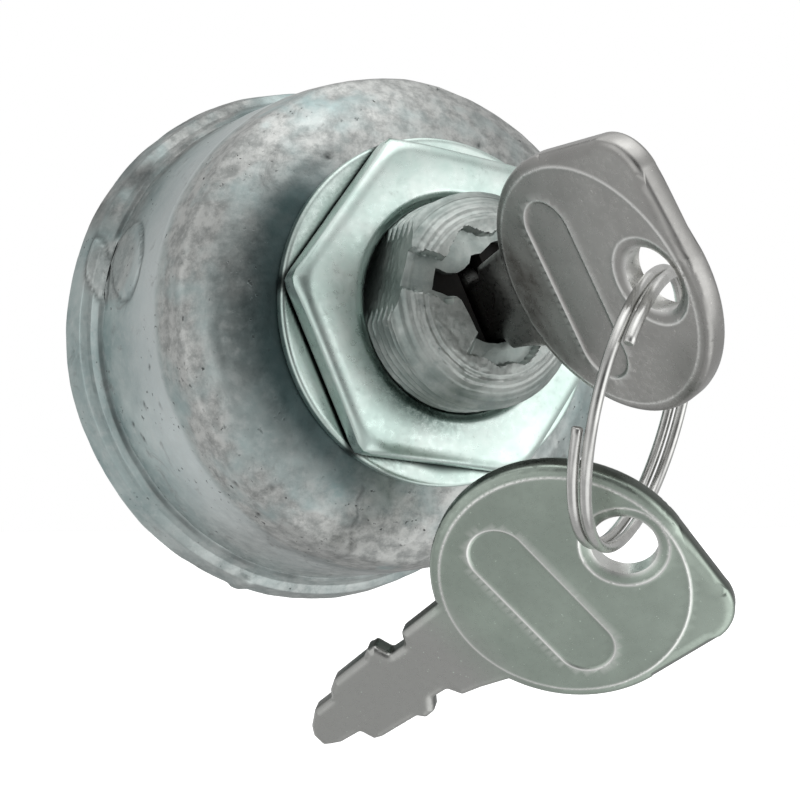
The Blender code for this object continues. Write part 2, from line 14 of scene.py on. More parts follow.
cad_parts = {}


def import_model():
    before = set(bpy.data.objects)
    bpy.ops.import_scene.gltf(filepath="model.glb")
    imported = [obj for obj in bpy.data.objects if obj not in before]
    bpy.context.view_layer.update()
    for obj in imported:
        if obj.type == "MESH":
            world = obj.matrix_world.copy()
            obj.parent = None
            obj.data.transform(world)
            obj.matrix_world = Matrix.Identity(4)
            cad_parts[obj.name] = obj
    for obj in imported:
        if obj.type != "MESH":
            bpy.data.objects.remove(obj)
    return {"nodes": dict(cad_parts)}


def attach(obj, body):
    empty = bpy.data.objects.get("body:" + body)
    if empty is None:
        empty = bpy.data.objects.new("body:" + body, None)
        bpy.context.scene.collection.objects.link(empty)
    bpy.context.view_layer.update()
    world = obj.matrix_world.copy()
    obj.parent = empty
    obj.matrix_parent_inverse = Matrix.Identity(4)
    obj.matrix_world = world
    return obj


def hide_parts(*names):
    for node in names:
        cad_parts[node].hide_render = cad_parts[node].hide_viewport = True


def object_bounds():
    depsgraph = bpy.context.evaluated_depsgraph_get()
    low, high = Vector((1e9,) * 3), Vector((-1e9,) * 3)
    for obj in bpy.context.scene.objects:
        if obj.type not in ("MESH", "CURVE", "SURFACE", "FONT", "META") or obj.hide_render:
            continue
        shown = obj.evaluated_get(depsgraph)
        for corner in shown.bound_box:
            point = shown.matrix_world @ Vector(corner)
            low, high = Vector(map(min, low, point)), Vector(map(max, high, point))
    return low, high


MM = 0.001

# Camera
CAMERA_PLACE = (-0.05208, -0.09326, -0.01568)
CAMERA_BACK = Vector((-0.46336, -0.88221, -0.08368))
CAMERA_LENS = 63.0
FLOOR_DROP = 16.0

# Casting: cup and stem
SEAT_R = 13.2
DOME_R = 17.6
DOME_DROP = 2.5
SHOULDER_R = 19.95
SHOULDER_DROP = 7.2
BODY_REAR_R = 20.9
BODY_DEPTH = 18.7
RIM_R = 22.93
RIM_REAR = 22.05
CRIMP_REAR = 22.83
CRIMP_INNER_R = 19.55
BASE_RECESS_R = 20.7
WALL = 2.4
CUP_STEPS = 384
STEM_LENGTH = 9.1
THREAD_CREST_R = 7.93
THREAD_ROOT_R = 7.44
THREAD_PITCH = 25.4 / 32
STEM_FLAT = 7.0
FLAT_ANGLE = 166.0
RECESS_R = 4.9
RECESS_DEPTH = 0.8
LIP = 0.9
BORE_R = 5.9
STEM_FOOT = -1.5
STEM_STEPS = 320
WALL_ROWS = 128

# Nut and washer
NUT_FLATS = 23.5
NUT_REAR = 1.65
NUT_FRONT = 4.05
NUT_ROLL = -5.3
NUT_BORE_R = 7.95
WASHER_R = 13.4
WASHER_REAR = 0.3
WASHER_FRONT = 1.35

# Keys: local x out of the lock, y towards the nose, from the label groove's centre
KEY = 1.8
HEAD_R = 9.2
HEAD_OUT = 2.2
NOSE_R = 3.0
NOSE = (7.8, 6.2)
KEY_HOLE_R = 2.2
KEY_HOLE_OUT = 7.6
KEY_EDGE = 0.6
CIRCLE_LINE_R = 8.45
HOLE_LINE_R = 2.95
LABEL_OUT = 0.3
LABEL_HALF = 4.4
LABEL_R = 2.05
LINE = 0.085
RAISED = 0.035
KEY_GRID = 0.55
BLADE_TIP = 22.3
PLAIN_EDGE = [(7.2, 3.9), (9.9, 3.7), (10.45, 2.8), (12.0, 2.8), (12.4, 4.0), (13.1, 4.1),
              (13.7, 3.8), (17.2, 3.6), (18.1, 3.1), (18.5, 2.6), (20.5, 2.5), (21.8, 1.6)]
CUT_EDGE = [(7.2, 3.7), (8.4, 3.1), (10.0, 2.8), (10.6, 1.8), (12.0, 1.75), (12.8, 2.7),
            (13.7, 2.8), (14.2, 2.3), (17.8, 2.2), (18.5, 2.0), (18.9, 0.9), (20.9, 0.8),
            (21.7, 0.5)]
RUN_ANGLE = 116.3
KEY_STAND = STEM_LENGTH + 10.0
KEY_DROOP = 2.4
KEY_TWIST = 6.5         # the first key's head is wrung this far past its blade
KEY_BEND = -1.6
TWIST_FROM, TWIST_TO = -11.8, -7.6
KEY_PIVOT = 2.0

# Split ring
RING_R = 8.96
RING_WIRE_R = 0.36
RING_PITCH = 0.84
RING_AZIMUTH = -52.3
RING_TILT = -15.1
RING_HANG = -28.0
RING_SAG = 0.47
RING_SLIDE = -0.38
RING_END = 12.5
RING_TURNS = 1.9
RING_TIP = 0.008        # the wire's rounded ends, as an angle in radians
RING_STEPS, RING_SIDES = 300, 20
SPARE_ALONG_RING = -21.0
SPARE_SAG = 0.38
SPARE_SLIDE = 0.1
SPARE_TURN = (-52.9, -30.5, -64.9)


def world(x, z, f):
    """A point of the switch's frame, in millimetres, as world metres."""
    return Vector((x * MM, -f * MM, z * MM))


def turned_point(radius, degrees, f):
    a = math.radians(degrees)
    return world(radius * math.cos(a), radius * math.sin(a), f)


def mesh_piece(name, points, faces, matrix=None, smooth=40):
    """A new object from points in world metres, or in the frame of matrix."""
    mesh = bpy.data.meshes.new(name)
    mesh.from_pydata([tuple(p) for p in points], [], [tuple(f) for f in faces])
    if matrix is not None:
        mesh.transform(matrix)
    mesh.update()
    obj = bpy.data.objects.new(name, mesh)
    bpy.context.scene.collection.objects.link(obj)
    mesh.shade_smooth()
    if smooth < 180:
        mesh.set_sharp_from_angle(angle=math.radians(smooth))
    return obj


def grid_faces(rows, columns, closed_rows=False):
    """Quads of a grid that closes round its columns, and round its rows if asked."""
    faces = []
    last = rows if closed_rows else rows - 1
    for i in range(last):
        j = (i + 1) % rows
        for k in range(columns):
            m = (k + 1) % columns
            faces.append((i * columns + k, i * columns + m, j * columns + m, j * columns + k))
    return faces


def rounded(corners, spacing=0.25):
    """A polyline through (a, b, fillet radius) corners, its corners rounded, evenly sampled."""
    points = [np.array(corners[0][:2], float)]
    for before, here, after in zip(corners, corners[1:], corners[2:]):
        p, c, n = (np.array(v[:2], float) for v in (before, here, after))
        inward, outward = (p - c) / np.linalg.norm(p - c), (n - c) / np.linalg.norm(n - c)
        angle = math.acos(max(-1, min(1, float(inward @ outward))))
        if here[2] <= 0 or angle > 3.12:
            points.append(c)
            continue
        reach = min(here[2] / math.tan(angle / 2), 0.49 * np.linalg.norm(p - c),
                    0.49 * np.linalg.norm(n - c))
        start, end = c + inward * reach, c + outward * reach
        count = max(3, int((math.pi - angle) * here[2] / 0.12))
        for i in range(count + 1):
            t = i / count
            points.append((1 - t) ** 2 * start + 2 * t * (1 - t) * c + t ** 2 * end)
    points.append(np.array(corners[-1][:2], float))
    dense = [points[0]]
    for p, n in zip(points, points[1:]):
        steps = max(1, int(np.linalg.norm(n - p) / spacing))
        dense += [p + (n - p) * i / steps for i in range(1, steps + 1)]
    return dense


def unevenness(point, scale, depth):
    """Smooth random height in millimetres at a world point."""
    return depth * noise.fractal(point * (1000.0 / scale), 0.6, 2.0, 3)


# Cup of the casting
CUP_OUTSIDE = [(7.2, 0.0, 0), (SEAT_R, 0.0, 1.6), (15.4, -0.75, 3.0), (DOME_R, -2.0, 3.0),
               (19.35, -3.75, 1.6), (SHOULDER_R, -SHOULDER_DROP, 4.0),
               (BODY_REAR_R, -BODY_DEPTH + 0.75, 0.12), (BODY_REAR_R - 0.16, -BODY_DEPTH + 0.5, 0.12),
               (21.25, -BODY_DEPTH + 0.22, 0.25), (21.62, -BODY_DEPTH - 0.45, 0.25),
               (21.9, -BODY_DEPTH - 0.62, 0.2), (22.4, -BODY_DEPTH - 1.0, 0.3),
               (RIM_R, -RIM_REAR, 0.35), (RIM_R - 0.75, -CRIMP_REAR, 0.35),
               (CRIMP_INNER_R + 0.4, -CRIMP_REAR, 0.25), (CRIMP_INNER_R, -RIM_REAR - 0.1, 0.1),
               (BASE_RECESS_R, -RIM_REAR, 0)]
CUP_INSIDE = [(BASE_RECESS_R, -BODY_DEPTH), (BODY_REAR_R - WALL, -BODY_DEPTH),
              (SHOULDER_R - WALL, -SHOULDER_DROP), (DOME_R - WALL / 2, -DOME_DROP - WALL),
              (SEAT_R, -WALL), (7.2, -WALL)]
PATCH = [((167.5, -19.0), (7.2, 0.95)), ((166.5, -14.6), (9.6, 2.9))]  # angle, f; half sizes
SEAM = (247.0, 15.6, 1.58)      # where it starts by the nut: angle, radius; then degrees a millimetre
LUG_ANGLE = 250.5
PATCH_SPAN = (150, 182)
PATCH_REACH = (-20.6, -9)


def by_patch(angle, f):
    return PATCH_SPAN[0] < angle < PATCH_SPAN[1] and PATCH_REACH[0] < f < PATCH_REACH[1]


def by_seam(angle, radius, f):
    return 243 < angle < 258 and radius > 14.5 and f > -5.5


def patch_height(angle, f):
    """The cast patch: two flat ovals with a fine groove round them. Height in millimetres."""
    best = -9.0
    for (a0, f0), (half_a, half_f) in PATCH:
        reach = math.hypot((angle - a0) / half_a, (f - f0 - 0.12 * (angle - a0)) / half_f)
        best = max(best, (1 - reach) * min(half_f, 2.0))
    if best > 0.12:
        return 0.07
    return -0.09 * math.exp(-(best / 0.19) ** 2) + (0.07 if best > 0 else 0.0) * best / 0.12


def cup_height(point, angle, radius, f):
    """Offset along the surface at a point of the cup, in millimetres."""
    if radius < SEAT_R - 0.3:
        return 0.0
    height = unevenness(point, 7.0, 0.085) + unevenness(point, 2.2, 0.028)
    if by_patch(angle, f):
        height += patch_height(angle, f)
        filled = 20.85 + 1.02 * (-17.8 - f) / 1.6 if -19.4 < f < -17.8 else 0.0
        height += on_patch(angle, f) * max(0.0, filled - radius)
    if by_seam(angle, radius, f):
        across = seam_gap(angle, radius)
        height += 0.05 * math.tanh(across * 9) * math.exp(-abs(across) / 0.5)
    if abs(angle - LUG_ANGLE) < 3.4 and f < -BODY_DEPTH - 0.7 and radius > 22.0:
        height += 0.26 * math.exp(-((angle - LUG_ANGLE) / 1.8) ** 4)
    return height


# Small marks in the casting. A pit is its angle, radius and f; a nick its angle, f and half length
PITS = [(201.5, 17.7, -2.6), (202, 18.8, -3.5), (171.5, 19.1, -4.0), (212.5, 19.0, -3.8),
        (217, 19.1, -4.0), (222.5, 19.45, -4.8), (227.5, 18.2, -2.8), (209, 17.0, -2.1),
        (231.5, 19.7, -5.6), (128.5, 14.4, -0.4), (73, 14.4, -0.4)]
NICKS = [(200, -12.2, 0.24), (201, -9.4, 0.16), (207, -14.9, 0.34), (203.5, -15.6, 0.2), (192, -9.6, 0.14)]


def turned_gap(a, b):
    return (a - b + 180) % 360 - 180


def cup_dark(point, angle, radius, f):
    """How dark a mark in the casting is at a point, from 0 to 1."""
    x, z = radius * math.cos(math.radians(angle)), radius * math.sin(math.radians(angle))
    dark = 0.0
    for a, r, at in PITS:
        if abs(turned_gap(angle, a)) < 3:
            across = math.radians(turned_gap(angle, a)) * radius
            gap = math.hypot(across, math.hypot(radius - r, f - at))
            dark = max(dark, 0.9 * math.exp(-(gap / 0.24) ** 2))
    for a, at, long in NICKS:
        if abs(turned_gap(angle, a)) < 5 and f < -SHOULDER_DROP:
            across, down = math.radians(turned_gap(angle, a)) * radius, f - at
            dark = max(dark, 0.9 * math.exp(-(across / long) ** 2 - ((down - 0.4 * across) / 0.16) ** 2))
    if by_patch(angle, f):
        dark = max(dark, min(1.0, max(0.0, -patch_height(angle, f)) * 6))
    if by_seam(angle, radius, f):
        dark = max(dark, 0.5 * math.exp(-(seam_gap(angle, radius) / 0.13) ** 2))
    groove = math.exp(-((f + BODY_DEPTH - 0.3) / 0.13) ** 2) * (radius < 21.5)
    torn = 0.75 + 0.5 * noise.noise(Vector((x, f, z)) * 0.35)
    old = smooth_step(angle, 92, 120) * (1 - smooth_step(angle, 150, 166)) * smooth_step(-f, 12.0, 17.5)
    old *= max(0.0, 0.34 + 0.3 * noise.fractal(point * 330, 0.6, 2.0, 4))
    return max(dark, old, 0.75 * torn * groove * (1 - on_patch(angle, f)))


def seam_gap(angle, radius):
    """Distance in millimetres across the seam in the casting."""
    bend = SEAM[0] + SEAM[2] * (radius - SEAM[1]) + 0.5 * math.sin(radius * 3.1)
    return math.radians(angle - bend) * radius


def on_patch(angle, f):
    """1 on the cast patch, which fills the groove before the rim, and 0 off it."""
    if not PATCH_SPAN[0] < angle < PATCH_SPAN[1]:
        return 0.0
    reach = math.hypot((angle - 167.5) / 9.0, (f + 16.6) / 4.2)
    return 1 - smooth_step(reach, 0.75, 1.0)


def cup_shade(point, angle, radius, f):
    """Painted shade, from 0 to 1: a dark crescent on the dome beside the nut, a shadow under the dome's
    lower edge and a darker upper-left wall.
    """
    if f < -4.5:
        # Painted shadow in the crease under the dome's lower edge; painted shade on the wall's upper-left
        # side.
        below = smooth_step(angle, 228, 252) * (1 - smooth_step(angle, 290, 310))
        crease = 0.4 * below * math.exp(-((f + SHOULDER_DROP + 0.9) / 1.0) ** 2)
        return crease + 0.16 * smooth_step(angle, 100, 125) * (1 - smooth_step(angle, 155, 176)) * (f < -8)
    # Painted shade: the dark crescent on the dome beside the nut.
    side = smooth_step(angle, 116, 150) * (1 - smooth_step(angle, 222, 276))
    reach = radius + 0.55 * noise.noise(point * 260) + 0.3 * noise.noise(point * 900)
    near = 1 - smooth_step(reach, 14.0, 16.4 + 1.2 * side)
    return near * side


def cup_warm(point, angle, radius, f):
    """Where the casting's skin on the shoulder is pale and brownish, from 0 to 1."""
    band = smooth_step(radius, 17.2, 18.6) * (1 - smooth_step(-f, 6.4, 7.9))
    patchy = noise.fractal(point * 210, 0.6, 2.0, 4)
    high = 0.5 + 0.5 * math.sin(math.radians(angle))
    old = smooth_step(angle, 100, 118) * (1 - smooth_step(angle, 150, 166)) * smooth_step(-f, 14.0, 18.5)
    found = band * (0.8 + 0.8 * patchy) + 0.95 * high * (0.85 + 0.8 * patchy) * (f > -6)
    low = smooth_step(angle, 212, 246) * (1 - smooth_step(angle, 300, 330))
    found += low * (0.7 + 0.8 * patchy if f > -SHOULDER_DROP else 0.55 + 0.2 * patchy)
    found += 0.65 * on_patch(angle, f) + old * (0.8 + 1.2 * patchy)
    return min(1.0, max(0.0, found))


def make_cup():
    outside = rounded(CUP_OUTSIDE, 0.17)
    inside = [np.array(p) for p in CUP_INSIDE]
    profile = outside + inside
    normals = []
    for i, p in enumerate(profile):
        before, after = profile[i - 1], profile[(i + 1) % len(profile)]
        along = (after - before) / (np.linalg.norm(after - before) + 1e-9)
        normals.append((-along[1], along[0]))
    points, marks = [], []
    for i, (p, n) in enumerate(zip(profile, normals)):
        for k in range(CUP_STEPS):
            angle = 360.0 * k / CUP_STEPS
            lift, found = 0.0, (0.0, 0.0, 0.0)
            place = (turned_point(p[0], angle, p[1]), angle, p[0], p[1])
            if i < len(outside) - 8:
                lift = cup_height(*place)
                found = (cup_dark(*place), cup_shade(*place), cup_warm(*place))
                lift -= 0.10 * found[0] * (p[1] > -BODY_DEPTH + 1)
            points.append(turned_point(p[0] + n[0] * lift, angle, p[1] + n[1] * lift))
            marks.append(found)
    cup = mesh_piece("cast_cup", points, grid_faces(len(profile), CUP_STEPS, closed_rows=True), smooth=50)
    # Attributes: dark marks in the casting, painted shade, and the pale brownish skin.
    for name, values in zip(("dark", "shade", "warm"), np.array(marks).T):
        paint(cup, name, values)
    return cup


# Threaded stem
LIP_OPENING = [(-4.9, 0.25), (-4.6, 1.85), (-3.7, 1.55), (-2.85, 1.6), (-2.3, 1.95), (-1.85, 2.4),
               (-1.7, 2.95), (-1.3, 3.1), (-0.9, 3.2), (-0.4, 3.65), (-0.05, 4.05), (0.6, 4.25),
               (1.9, 3.8), (3.0, 2.8), (3.75, 1.5), (4.0, 0.2), (4.9, -1.0), (4.6, -2.3),
               (3.0, -1.9), (2.2, -2.5), (1.5, -3.0), (0.5, -3.24), (-0.4, -3.24), (-1.35, -2.97),
               (-1.75, -2.5), (-2.15, -1.75), (-2.6, -0.95), (-2.95, -0.45), (-3.4, -0.15),
               (-4.2, 0.1)]
CHANNEL = (0.15, 2.95)          # across the flat's middle, from its lower side to its upper
FILLED = (176.0, 238.0)         # angles where the staked rim fills the recess


def thread_radius(angle, f):
    """The 32 to the inch thread, its crests a little flattened and crushed towards the end."""
    turn = (f / THREAD_PITCH - angle / 360.0) % 1.0
    tooth = min(1.0, max(0.0, (abs(2 * turn - 1) - 0.1) / 0.76))
    fade = min(1.0, max(0.0, (STEM_LENGTH - 0.25 - f) / 0.7))
    return THREAD_ROOT_R + (THREAD_CREST_R - THREAD_ROOT_R) * (0.55 + 0.45 * fade) * tooth


def flat_to(x, z, limit):
    """The point pulled back on to the stem's flat."""
    a = math.radians(FLAT_ANGLE)
    reach = x * math.cos(a) + z * math.sin(a)
    if reach > limit:
        x -= (reach - limit) * math.cos(a)
        z -= (reach - limit) * math.sin(a)
    return x, z


def smooth_step(value, low, high):
    t = min(1.0, max(0.0, (value - low) / (high - low)))
    return t * t * (3 - 2 * t)


def ripple(x, z, scale, seed):
    return noise.noise(Vector((x / scale, z / scale, seed)))


def stem_end(x, z):
    """Height of the stem's end at a point: staked rim, recess and the channel broken through it."""
    a = math.radians(FLAT_ANGLE)
    along, across = x * math.cos(a) + z * math.sin(a), -x * math.sin(a) + z * math.cos(a)
    r, angle = math.hypot(x, z), math.degrees(math.atan2(z, x)) % 360
    torn = 0.16 * ripple(x, z, 0.9, 1.7) + 0.1 * ripple(x, z, 0.35, 5.1)
    rim_edge = RECESS_R + 0.9 * ripple(x, z, 1.7, 9.3) * smooth_step(r, 3.5, 4.9) + torn
    into = 1 - smooth_step(r, rim_edge - 0.16, rim_edge + 0.02)
    filled = smooth_step(angle, FILLED[0] - 5, FILLED[0] + 4)
    filled *= 1 - smooth_step(angle, FILLED[1], FILLED[1] + 9)
    depth = RECESS_DEPTH * (1 - 0.96 * filled)
    low, high = -CHANNEL[1] + 1.45, CHANNEL[1] - 1.45
    edge = 0.22 * ripple(x, z, 0.7, 3.3) + 0.1 * ripple(x, z, 0.25, 8.1)
    wall = min(across - low - edge, high + 0.1 - across + edge)
    channel = smooth_step(wall, 0.0, 0.14) * (along > 3.4)
    sunk = max(depth * into, RECESS_DEPTH * channel * (1 - 0.3 * smooth_step(r, 6.3, 6.9)))
    rounding = 1.25 * max(0.0, (r - 5.1) / 2.4) ** 2.2
    turned = r + 0.10 * ripple(x, z, 2.5, 4.4)
    rings = 0.05 * math.sin(math.tau * turned / 0.46) * smooth_step(r, 5.3, 5.9)
    rough = 0.07 * ripple(x, z, 1.4, 2.2) + 0.025 * ripple(x, z, 0.35, 6.6) + rings
    rough *= 1 - 0.85 * min(1.0, sunk / RECESS_DEPTH)
    return STEM_LENGTH - 0.07 - sunk - rounding + rough


def stem_wall(angle, f):
    """A point of the threaded wall, kept under the stem's end."""
    a = math.radians(angle)
    r = thread_radius(angle, f)
    x, z = r * math.cos(a), r * math.sin(a)
    worn = 0.03 * noise.noise(Vector((x, z, f)) * 0.9) + 0.02 * noise.noise(Vector((x, z, f)) * 3)
    x, z = flat_to(x * (1 + worn / r), z * (1 + worn / r), STEM_FLAT + worn)
    return world(x, z, min(f, stem_end(x, z) - 0.02 * (1 - f / STEM_LENGTH)))


def make_stem():
    angles = [360.0 * k / STEM_STEPS for k in range(STEM_STEPS)]
    points = [turned_point(THREAD_ROOT_R, a, STEM_FOOT) for a in angles]
    for i in range(WALL_ROWS):
        points += [stem_wall(a, STEM_LENGTH * i / WALL_ROWS) for a in angles]
    end_radii = [7.38 - 0.1 * i for i in range(35)] + [3.9 - 0.3 * i for i in range(11)]
    for radius in end_radii:
        for angle in angles:
            a = math.radians(angle)
            x, z = flat_to(radius * math.cos(a), radius * math.sin(a), STEM_FLAT - 0.03)
            points.append(world(x, z, stem_end(x, z)))
    lip = STEM_LENGTH - RECESS_DEPTH
    inner = ((end_radii[-1], lip - LIP), (3.0, lip - LIP), (BORE_R, lip - LIP), (BORE_R, STEM_FOOT))
    for radius, f in inner:
        points += [turned_point(radius, a, f) for a in angles]
    rows = len(points) // STEM_STEPS
    stem = mesh_piece("threaded_stem", points, grid_faces(rows, STEM_STEPS, True), smooth=35)
    opening = prism("lip_opening", jagged(LIP_OPENING, 0.05), lip - 2 * LIP, STEM_LENGTH + 1)
    cut(stem, opening)
    return stem


JAG = 0.3                       # length of one step of a torn edge


def jagged(outline, depth):
    """The outline with its sides broken into short uneven steps."""
    points = []
    for (x0, z0), (x1, z1) in zip(outline, outline[1:] + outline[:1]):
        length = math.hypot(x1 - x0, z1 - z0)
        count = max(1, round(length / JAG))
        for i in range(count):
            t = i / count
            x, z = x0 + (x1 - x0) * t, z0 + (z1 - z0) * t
            push = depth * noise.noise(Vector((x * 2.3, z * 2.3, 4.1)))
            points.append((x + push * (z1 - z0) / length, z - push * (x1 - x0) / length))
    return points


def prism(name, outline, low, high):
    """A straight prism along the axis, for cutting. Its outline is (x, z)."""
    count = len(outline)
    points = [world(x, z, low) for x, z in outline] + [world(x, z, high) for x, z in outline]
    faces = [tuple(range(count)), tuple(range(2 * count - 1, count - 1, -1))]
    faces += [(i, i + count, (i + 1) % count + count, (i + 1) % count) for i in range(count)]
    obj = mesh_piece(name, points, faces, smooth=180)
    turn_out(obj.data)
    return obj


def turn_out(mesh):
    """Faces of a closed mesh all pointing out."""
    work = bmesh.new()
    work.from_mesh(mesh)
    bmesh.ops.recalc_face_normals(work, faces=work.faces)
    work.to_mesh(mesh)
    work.free()


def cut(obj, cutter):
    """Cuts one piece out of another and removes the cutter."""
    turn_out(obj.data)
    boolean = obj.modifiers.new("cut", "BOOLEAN")
    boolean.operation = "DIFFERENCE"
    boolean.solver = "EXACT"
    boolean.object = cutter
    bpy.context.view_layer.update()
    done = bpy.data.meshes.new_from_object(obj.evaluated_get(bpy.context.evaluated_depsgraph_get()))
    obj.modifiers.remove(boolean)
    obj.data = done
    bpy.data.objects.remove(cutter, do_unlink=True)
    done.shade_smooth()
    done.set_sharp_from_angle(angle=math.radians(38))


# Nut and washer
NUT_STEPS = 360
WASHER_STEPS = 300


def hexagon_radius(angle, half_flats):
    """Distance from the axis to a hexagon with softened corners."""
    a = math.radians(((angle - NUT_ROLL) % 60) - 30)
    straight = half_flats / math.cos(a)
    soft = 0.12 * math.exp(-((30 - abs(math.degrees(a))) / 1.7) ** 2)
    return straight - soft


def make_nut():
    half_flats = NUT_FLATS / 2
    points = []
    angles = [NUT_ROLL + 360.0 * k / NUT_STEPS for k in range(NUT_STEPS)]
    for i in range(4):
        f = NUT_REAR + (NUT_FRONT - 0.75 - NUT_REAR) * i / 3
        points += [turned_point(NUT_BORE_R, a, f) for a in angles]
    for t in [i / 26 for i in range(27)]:
        for a in angles:
            outer = hexagon_radius(a, half_flats)
            r = NUT_BORE_R + (outer - NUT_BORE_R) * t
            points.append(turned_point(r, a, nut_face(r, outer)))
    thick = NUT_FRONT - NUT_REAR
    for drop, inset in ((0.9, 0.0), (1.25, 0.0), (1.6, 0.0), (thick - 0.5, 0.0), (thick - 0.3, 0.0),
                        (thick - 0.12, 0.0), (thick, 0.12)):
        for a in angles:
            outer = hexagon_radius(a, half_flats)
            points.append(turned_point(outer - inset, a, NUT_FRONT - drop))
    count = len(points) // NUT_STEPS
    nut = mesh_piece("nut", points, grid_faces(count, NUT_STEPS, True), smooth=60)
    paint(nut, "shade", [nut_shade(*around_axis(p)) for p in points])
    # Painted shadow: the nut's rear edge, where it meets the washer, near black.
    paint(nut, "dark", [1 - smooth_step(-p.y / MM, NUT_REAR, NUT_REAR + 0.14) for p in points])
    return nut


def around_axis(point):
    """Angle and distance from the stem's axis of a point in the scene."""
    return math.degrees(math.atan2(point.z, point.x)) % 360, math.hypot(point.x, point.z) / MM


def nut_shade(angle, r):
    """The grainy dark smudge on the nut's face, below the stem and to its left, from 0 to 1."""
    side = math.exp(-((angle - 240) / 30) ** 2)
    return min(1.0, 1.25 * side * math.exp(-(max(0.0, r - 8.5) / 1.15) ** 2))


def nut_face(r, outer):
    """Height of the nut's front face: countersunk at the bore, crowned, rounded at its edge."""
    sink = 0.45 * max(0.0, 1 - (r - NUT_BORE_R) / 0.75) ** 1.5
    crown = 0.13 * ((r - 9.9) / 2.2) ** 2 if r > 9.9 else 0.03 * ((r - 9.9) / 1.9) ** 2
    edge = max(0.0, 1 - (outer - r) / 1.05)
    corner = 0.22 * max(0.0, r - 12.3) ** 1.2
    return NUT_FRONT - sink - crown - corner - 0.42 * (1 - math.sqrt(max(0.0, 1 - edge ** 2)))


def make_washer():
    profile = rounded([(NUT_BORE_R + 0.05, WASHER_REAR + 0.02, 0), (NUT_BORE_R + 0.05, WASHER_FRONT, 0.1),
                       (WASHER_R - 0.02, WASHER_FRONT, 0.3), (WASHER_R - 0.02, WASHER_REAR + 0.02, 0.2),
                       (NUT_BORE_R + 0.05, WASHER_REAR + 0.02, 0)], 0.16)[:-1]
    points, gap_shadow, darkened = [], [], []
    for r, f in profile:
        for k in range(WASHER_STEPS):
            a = 360.0 * k / WASHER_STEPS
            points.append(turned_point(r, a, f))
            # Painted shade: the washer's upper-left side made darker.
            darkened.append(0.32 * smooth_step(a, 95, 125) * (1 - smooth_step(a, 178, 200)))
            # Painted shadow: near black on the washer just outside the nut's edges, wider below the nut.
            gap = r - hexagon_radius(a, NUT_FLATS / 2)
            shadow = 0.3 + 0.6 * math.exp(-((a - 268) / 9) ** 2)
            gap_shadow.append(1 - smooth_step(gap, 0.0, shadow))
    washer = mesh_piece("plain_washer", points, grid_faces(len(profile), WASHER_STEPS, True), smooth=50)
    paint(washer, "dark", gap_shadow)
    paint(washer, "shade", darkened)
    return washer


# Keys
def arc(centre, radius, start, end, count):
    angles = [math.radians(start + (end - start) * i / count) for i in range(count + 1)]
    return [(centre[0] + radius * math.cos(a), centre[1] + radius * math.sin(a)) for a in angles]


def key_outline():
    """Head, nose and blade as one loop, with the blade's corners softened."""
    disc = (HEAD_OUT, 0.0)
    reach = math.dist(disc, NOSE)
    lean = math.degrees(math.atan2(NOSE[1], NOSE[0] - HEAD_OUT))
    spread = math.degrees(math.acos((HEAD_R - NOSE_R) / reach))
    root = PLAIN_EDGE[0][1]
    top_root = CUT_EDGE[0][1]
    plain_join = 180 + math.degrees(math.asin(root / HEAD_R))
    cut_join = 180 - math.degrees(math.asin(top_root / HEAD_R))
    upper = arc(disc, HEAD_R, lean + spread, cut_join, 40)
    blade = [(-x, y, 0.3) for x, y in CUT_EDGE[1:]]
    blade += [(-BLADE_TIP, 0.2, 0.35), (-BLADE_TIP, -0.9, 0.35)]
    blade += [(-x, -y, 0.3) for x, y in reversed(PLAIN_EDGE[1:])]
    lower = arc(disc, HEAD_R, plain_join, lean + 360 - spread, 60)
    nose = arc(NOSE, NOSE_R, lean + 360 - spread, lean + 360 + spread, 22)
    neck = [(*upper[-1], 0)] + blade + [(*lower[0], 0)]
    middle = [tuple(p) for p in rounded(neck, 0.22)]
    return upper[:-1] + middle + lower[1:] + nose[1:-1]


def inside(points, loop):
    """True for each of the points within a closed loop."""
    x, y = points[:, 0:1], points[:, 1:2]
    x0, y0 = loop[:, 0], loop[:, 1]
    x1, y1 = np.roll(x0, -1), np.roll(y0, -1)
    crossing = ((y0 > y) != (y1 > y)) & (x < (x1 - x0) * (y - y0) / (y1 - y0 + 1e-12) + x0)
    return crossing.sum(axis=1) % 2 == 1


def distance_to(points, loop):
    """Distance of each point to a closed loop."""
    nearest = np.full(len(points), 1e9)
    for (x0, y0), (x1, y1) in zip(loop, np.roll(loop, -1, axis=0)):
        dx, dy = x1 - x0, y1 - y0
        t = ((points[:, 0] - x0) * dx + (points[:, 1] - y0) * dy) / (dx * dx + dy * dy + 1e-12)
        t = np.clip(t, 0, 1)
        nearest = np.minimum(nearest, np.hypot(points[:, 0] - x0 - t * dx, points[:, 1] - y0 - t * dy))
    return nearest


def label_distance(points):
    """Signed distance to the label groove's outline, positive outside."""
    y = np.clip(points[:, 1], -LABEL_HALF, LABEL_HALF)
    return np.hypot(points[:, 0] - LABEL_OUT, points[:, 1] - y) - LABEL_R


def step(distance, width):
    """A smooth step from 0 to 1 across a line, centred on it."""
    t = np.clip(distance / width + 0.5, 0, 1)
    return t * t * (3 - 2 * t)


